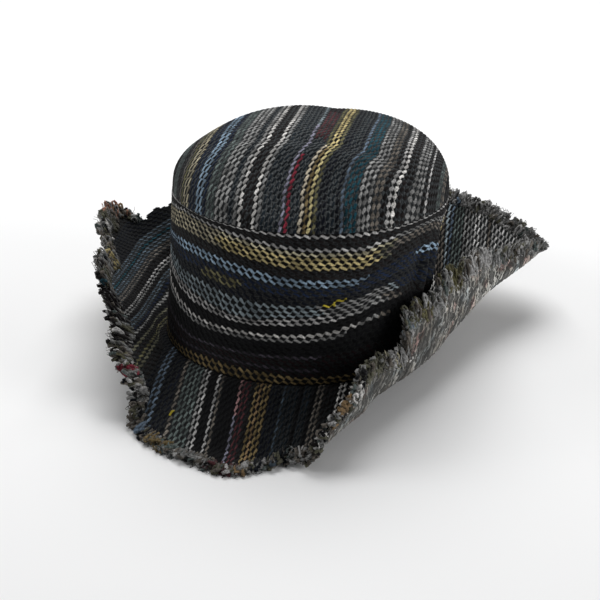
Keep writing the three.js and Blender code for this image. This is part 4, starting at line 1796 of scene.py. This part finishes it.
        along = np.linspace(0, 1, kind.points)[None, :]
        edge = self.brim.edge(knots)[:, None]
        layer = chance.beta(*self.lengths, (count, 1))
        root = self.brim.frayed_from(knots)[:, None] + spread(*self.root)
        reach = np.maximum(edge - radius[:, None] - root + 2 * (kind.stray - 1), 3) * (0.4 + 0.6 * layer)
        width = spread(*self.swing) * np.where(spread(0, 1) < 0.5, -1, 1)
        lift = spread(*self.lift) * kind.stray
        curl = 2 * np.pi * (spread(*self.curls) * along + spread(0, 1))
        wave = self.wave * kind.stray * np.sin(curl)
        ripple = self.ripple * np.cos(curl)
        turned = np.sin(np.pi * along ** spread(*self.skew))
        looped = root + reach * turned + 0.6 * ripple
        free = root + reach * along * (1.05 - 0.25 * along * spread(0, 1)) + 0.5 * ripple
        out = np.where(loose[:, None], free, looped)
        rise = np.where(loose[:, None], lift * 1.1 * along**1.5, lift * turned) + ripple + 0.3
        aside = spread(*self.shift) * self.knot_pitch + width * (along - 0.35) + wave
        ring = 88 + self.brim.width(knots)[:, None] * 0.8
        degrees = knots[:, None] + aside / (ring * RAD)
        centre = self.brim.settled(degrees, out) + self.brim.normal(degrees, out) * rise[..., None]
        centre[..., 2] = np.maximum(centre[..., 2], radius[:, None] + 0.05)
        return centre

    def _tubes(self, kind: Strands, knots: Array, chance: np.random.Generator) -> tuple[Array, Array]:
        """Makes closed tubes of one kind of loose yarn.

        Args:
            kind: The kind of loose yarn.
            knots: Direction of each strand's knot.
            chance: The random numbers.

        Returns:
            The tubes' rings of points by strand and point, and the tint of each strand.
        """
        count, points, sides = len(knots), kind.points, kind.sides
        radius = chance.uniform(*kind.radius, count)
        loose = chance.random(count) > kind.loops
        tints = np.array([self._tint(knot, chance) * chance.uniform(*self.shade) for knot in knots])
        centre = self._paths(kind, knots, radius, loose, chance)
        taper = 1 - 0.4 * np.linspace(0, 1, points)[None, :] ** 3 * loose[:, None]
        lumps = 1 + self.lump * np.sin(chance.uniform(0, 6.3, (count, 1)) + 2.3 * np.arange(points))
        tangent = unit(np.gradient(centre, axis=1))
        side = unit(np.cross(tangent, np.array([0.31, 0.17, 0.93])))
        other = np.cross(tangent, side)
        angle = (np.arange(sides) * 2 * np.pi / sides)[None, None, :, None]
        ring = side[:, :, None] * np.cos(angle) + other[:, :, None] * np.sin(angle)
        places = centre[:, :, None] + ring * (radius[:, None] * taper * lumps)[:, :, None, None]
        places[..., 2] = np.maximum(places[..., 2], 0.02)
        return places, np.clip(tints, 0, 1)

    def build(self) -> bpy.types.Object:
        """Makes all the loose yarn as one piece of many closed tubes.

        Returns:
            The piece.
        """
        chance = np.random.default_rng(self.seed)
        knots = self._places()
        knots = knots[(knots < self.bare[0]) | (knots > self.bare[1])]
        vertices, faces, tints, used = [], [], [], 0
        for kind, roots in (
            (self.yarn, np.repeat(knots, self.strands)),
            (self.fuzz, chance.choice(knots, self.hairs) + chance.uniform(-1.2, 1.2, self.hairs)),
        ):
            places, tint = self._tubes(kind, roots, chance)
            number = used + np.arange(places[..., 0].size).reshape(places.shape[:3])
            after = np.roll(number, -1, 2)
            walls = np.stack([number[:, :-1], after[:, :-1], after[:, 1:], number[:, 1:]], -1).reshape(-1, 4)
            faces += walls.tolist() + number[:, 0, ::-1].tolist() + number[:, -1].tolist()
            per_wall = np.repeat(tint, (kind.points - 1) * kind.sides * 4, 0)
            per_cap = np.repeat(tint, kind.sides, 0)
            tints += [per_wall, per_cap, per_cap]
            vertices.append(places.reshape(-1, 3))
            used += number.size
        mesh = bpy.data.meshes.new("frayed_yarns")
        mesh.from_pydata((np.concatenate(vertices) * MM).tolist(), [], faces)
        colours = mesh.color_attributes.new(TINT, "FLOAT_COLOR", "CORNER")
        colours.data.foreach_set("color", np.concatenate(tints).reshape(-1).astype(np.float32))
        return finished(mesh, "frayed_yarns", 0)


# The studio

@dataclass(frozen=True)
class Lamp:
    """A wide soft lamp that shines on the hat."""

    name: str
    place: tuple[float, float, float]
    power: float
    size: float


@dataclass(frozen=True)
class Studio:
    """The pale floor, the soft lights and the camera at the photo's angle."""

    azimuth: float = 10
    elevation: float = 29.2
    distance: float = 0.87
    focal: float = 78
    target: tuple[float, float, float] = (-0.0081, 0.0014, 0.0284)
    lit: tuple[float, float, float] = (0, 0, 0.05)  # what the lamps shine on
    floor: float = 6.0
    paint: Colour = (0.86, 0.86, 0.86)
    sky: Colour = (0.97, 0.98, 1.0)
    sky_power: float = 0.17
    lamps: tuple[Lamp, ...] = (
        Lamp("back", (-0.1, 0.8, 1.35), 23, 1.1),
        Lamp("right", (1.5, -0.35, 0.5), 13, 0.9),
        Lamp("left", (-1.35, -0.2, 0.8), 8, 0.8),
    )

    def build(self) -> None:
        """Adds the floor, the lights, the sky and the camera."""
        self._add_floor()
        self._add_lights()
        self._add_camera()

    def _add_floor(self) -> None:
        """Adds the pale floor."""
        bpy.ops.object.select_all(action="DESELECT")
        bpy.ops.mesh.primitive_plane_add(size=self.floor, location=(0, 0, 0))
        floor = bpy.context.object
        floor.name = "floor"
        material = bpy.data.materials.new("pale_floor")
        material.use_nodes = True
        shader = material.node_tree.nodes["Principled BSDF"]
        shader.inputs["Base Color"].default_value = (*self.paint, 1)
        shader.inputs["Roughness"].default_value = 0.9
        floor.data.materials.append(material)

    def _add_lights(self) -> None:
        """Adds a pale sky and the lamps."""
        world = bpy.data.worlds.new("sky")
        world.use_nodes = True
        sky = world.node_tree.nodes["Background"]
        sky.inputs["Color"].default_value = (*self.sky, 1)
        sky.inputs["Strength"].default_value = self.sky_power
        bpy.context.scene.world = world
        bpy.context.scene.view_settings.view_transform = "Standard"
        for lamp in self.lamps:
            light = bpy.data.lights.new(lamp.name, "AREA")
            light.energy = lamp.power
            light.size = lamp.size
            holder = bpy.data.objects.new(lamp.name, light)
            holder.location = lamp.place
            holder.rotation_euler = (Vector(self.lit) - Vector(lamp.place)).to_track_quat("-Z", "Y").to_euler()
            bpy.context.scene.collection.objects.link(holder)

    def _add_camera(self) -> None:
        """Adds the camera at the photo's angle."""
        az, el = self.azimuth * RAD, self.elevation * RAD
        back = Vector((math.sin(az) * math.cos(el), -math.cos(az) * math.cos(el), math.sin(el)))
        camera = bpy.data.cameras.new("camera")
        camera.sensor_width = 36
        camera.lens = self.focal
        camera.clip_start = 0.01
        holder = bpy.data.objects.new("camera", camera)
        holder.location = Vector(self.target) + back * self.distance
        holder.rotation_euler = (-back).to_track_quat("-Z", "Y").to_euler()
        bpy.context.scene.collection.objects.link(holder)
        bpy.context.scene.camera = holder


# Putting the hat together

@dataclass
class Hat:
    """The whole hat: its cloths, its loose yarn and their finishes."""

    panel: TopPanel = field(default_factory=TopPanel)
    band: Band = field(default_factory=Band)
    brim: Brim = field(default_factory=Brim)

    def build(self) -> None:
        """Makes every piece, dresses it and gives it its place in the frame."""
        groups = {"woven_floats": WovenFloats().build(), "worn_fuzz": WornFuzz().build()}
        tip = self._cloth("tip_cloth", self.panel.grid(), "crown_tip")
        band = self._cloth("band_cloth", self.band.grid(), "crown_band")
        brim = self._cloth("brim_cloth", self.brim.grid(), "brim")
        loose = FrayedEdge(self.brim).build()
        self._place(loose, "frayed_edge", "loose_yarn")
        tip_finish = ClothFinish("tip_stripes", 0.6, 1.1, brightness=1.15, cross_tint=(0.15, 0.166, 0.174))
        band_finish = ClothFinish("band_stripes", 0.85, 0.8, brightness=1.18, cross_tint=(0.07, 0.075, 0.077))
        brim_finish = ClothFinish("brim_stripes", 0.65, 0.9, brightness=1.2, cross_tint=(0.05, 0.055, 0.057))
        dressed = (
            (tip, (tip_finish,)), (band, (band_finish,)), (brim, (brim_finish, TweedFinish())),
            (loose, (LooseYarnFinish(),)),
        )
        for piece, finishes in dressed:
            for finish in finishes:
                piece.data.materials.append(finish.material(groups))
            if len(finishes) == 1:
                piece.data.polygons.foreach_set("material_index", np.zeros(len(piece.data.polygons), np.int32))

    def _cloth(self, name: str, grid: ClothGrid, node: str) -> bpy.types.Object:
        """Builds one cloth and puts it in the place of its node.

        Args:
            name: The piece's name.
            grid: The cloth.
            node: The node that it stands for.

        Returns:
            The piece.
        """
        piece = grid.build(name)
        self._place(piece, node, "woven_cloth")
        return piece

    @staticmethod
    def _place(piece: bpy.types.Object, node: str, slot: str) -> None:
        """Puts a piece on the hat's body, in the place of its node, and reports it.

        Args:
            piece: The piece.
            node: The node that it stands for.
            slot: Not used.
        """
        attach(piece, "root")
        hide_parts(node)
        triangles = sum(len(face.vertices) - 2 for face in piece.data.polygons)
        LOG.info("%s stands for %s: %d triangles", piece.name, node, triangles)


def main() -> None:
    """Builds the hat and its studio."""
    logging.basicConfig(level=logging.INFO, format="%(name)s: %(message)s")
    Studio().build()
    LOG.info("studio is ready")
    Hat().build()


if __name__ == "__main__":
    main()
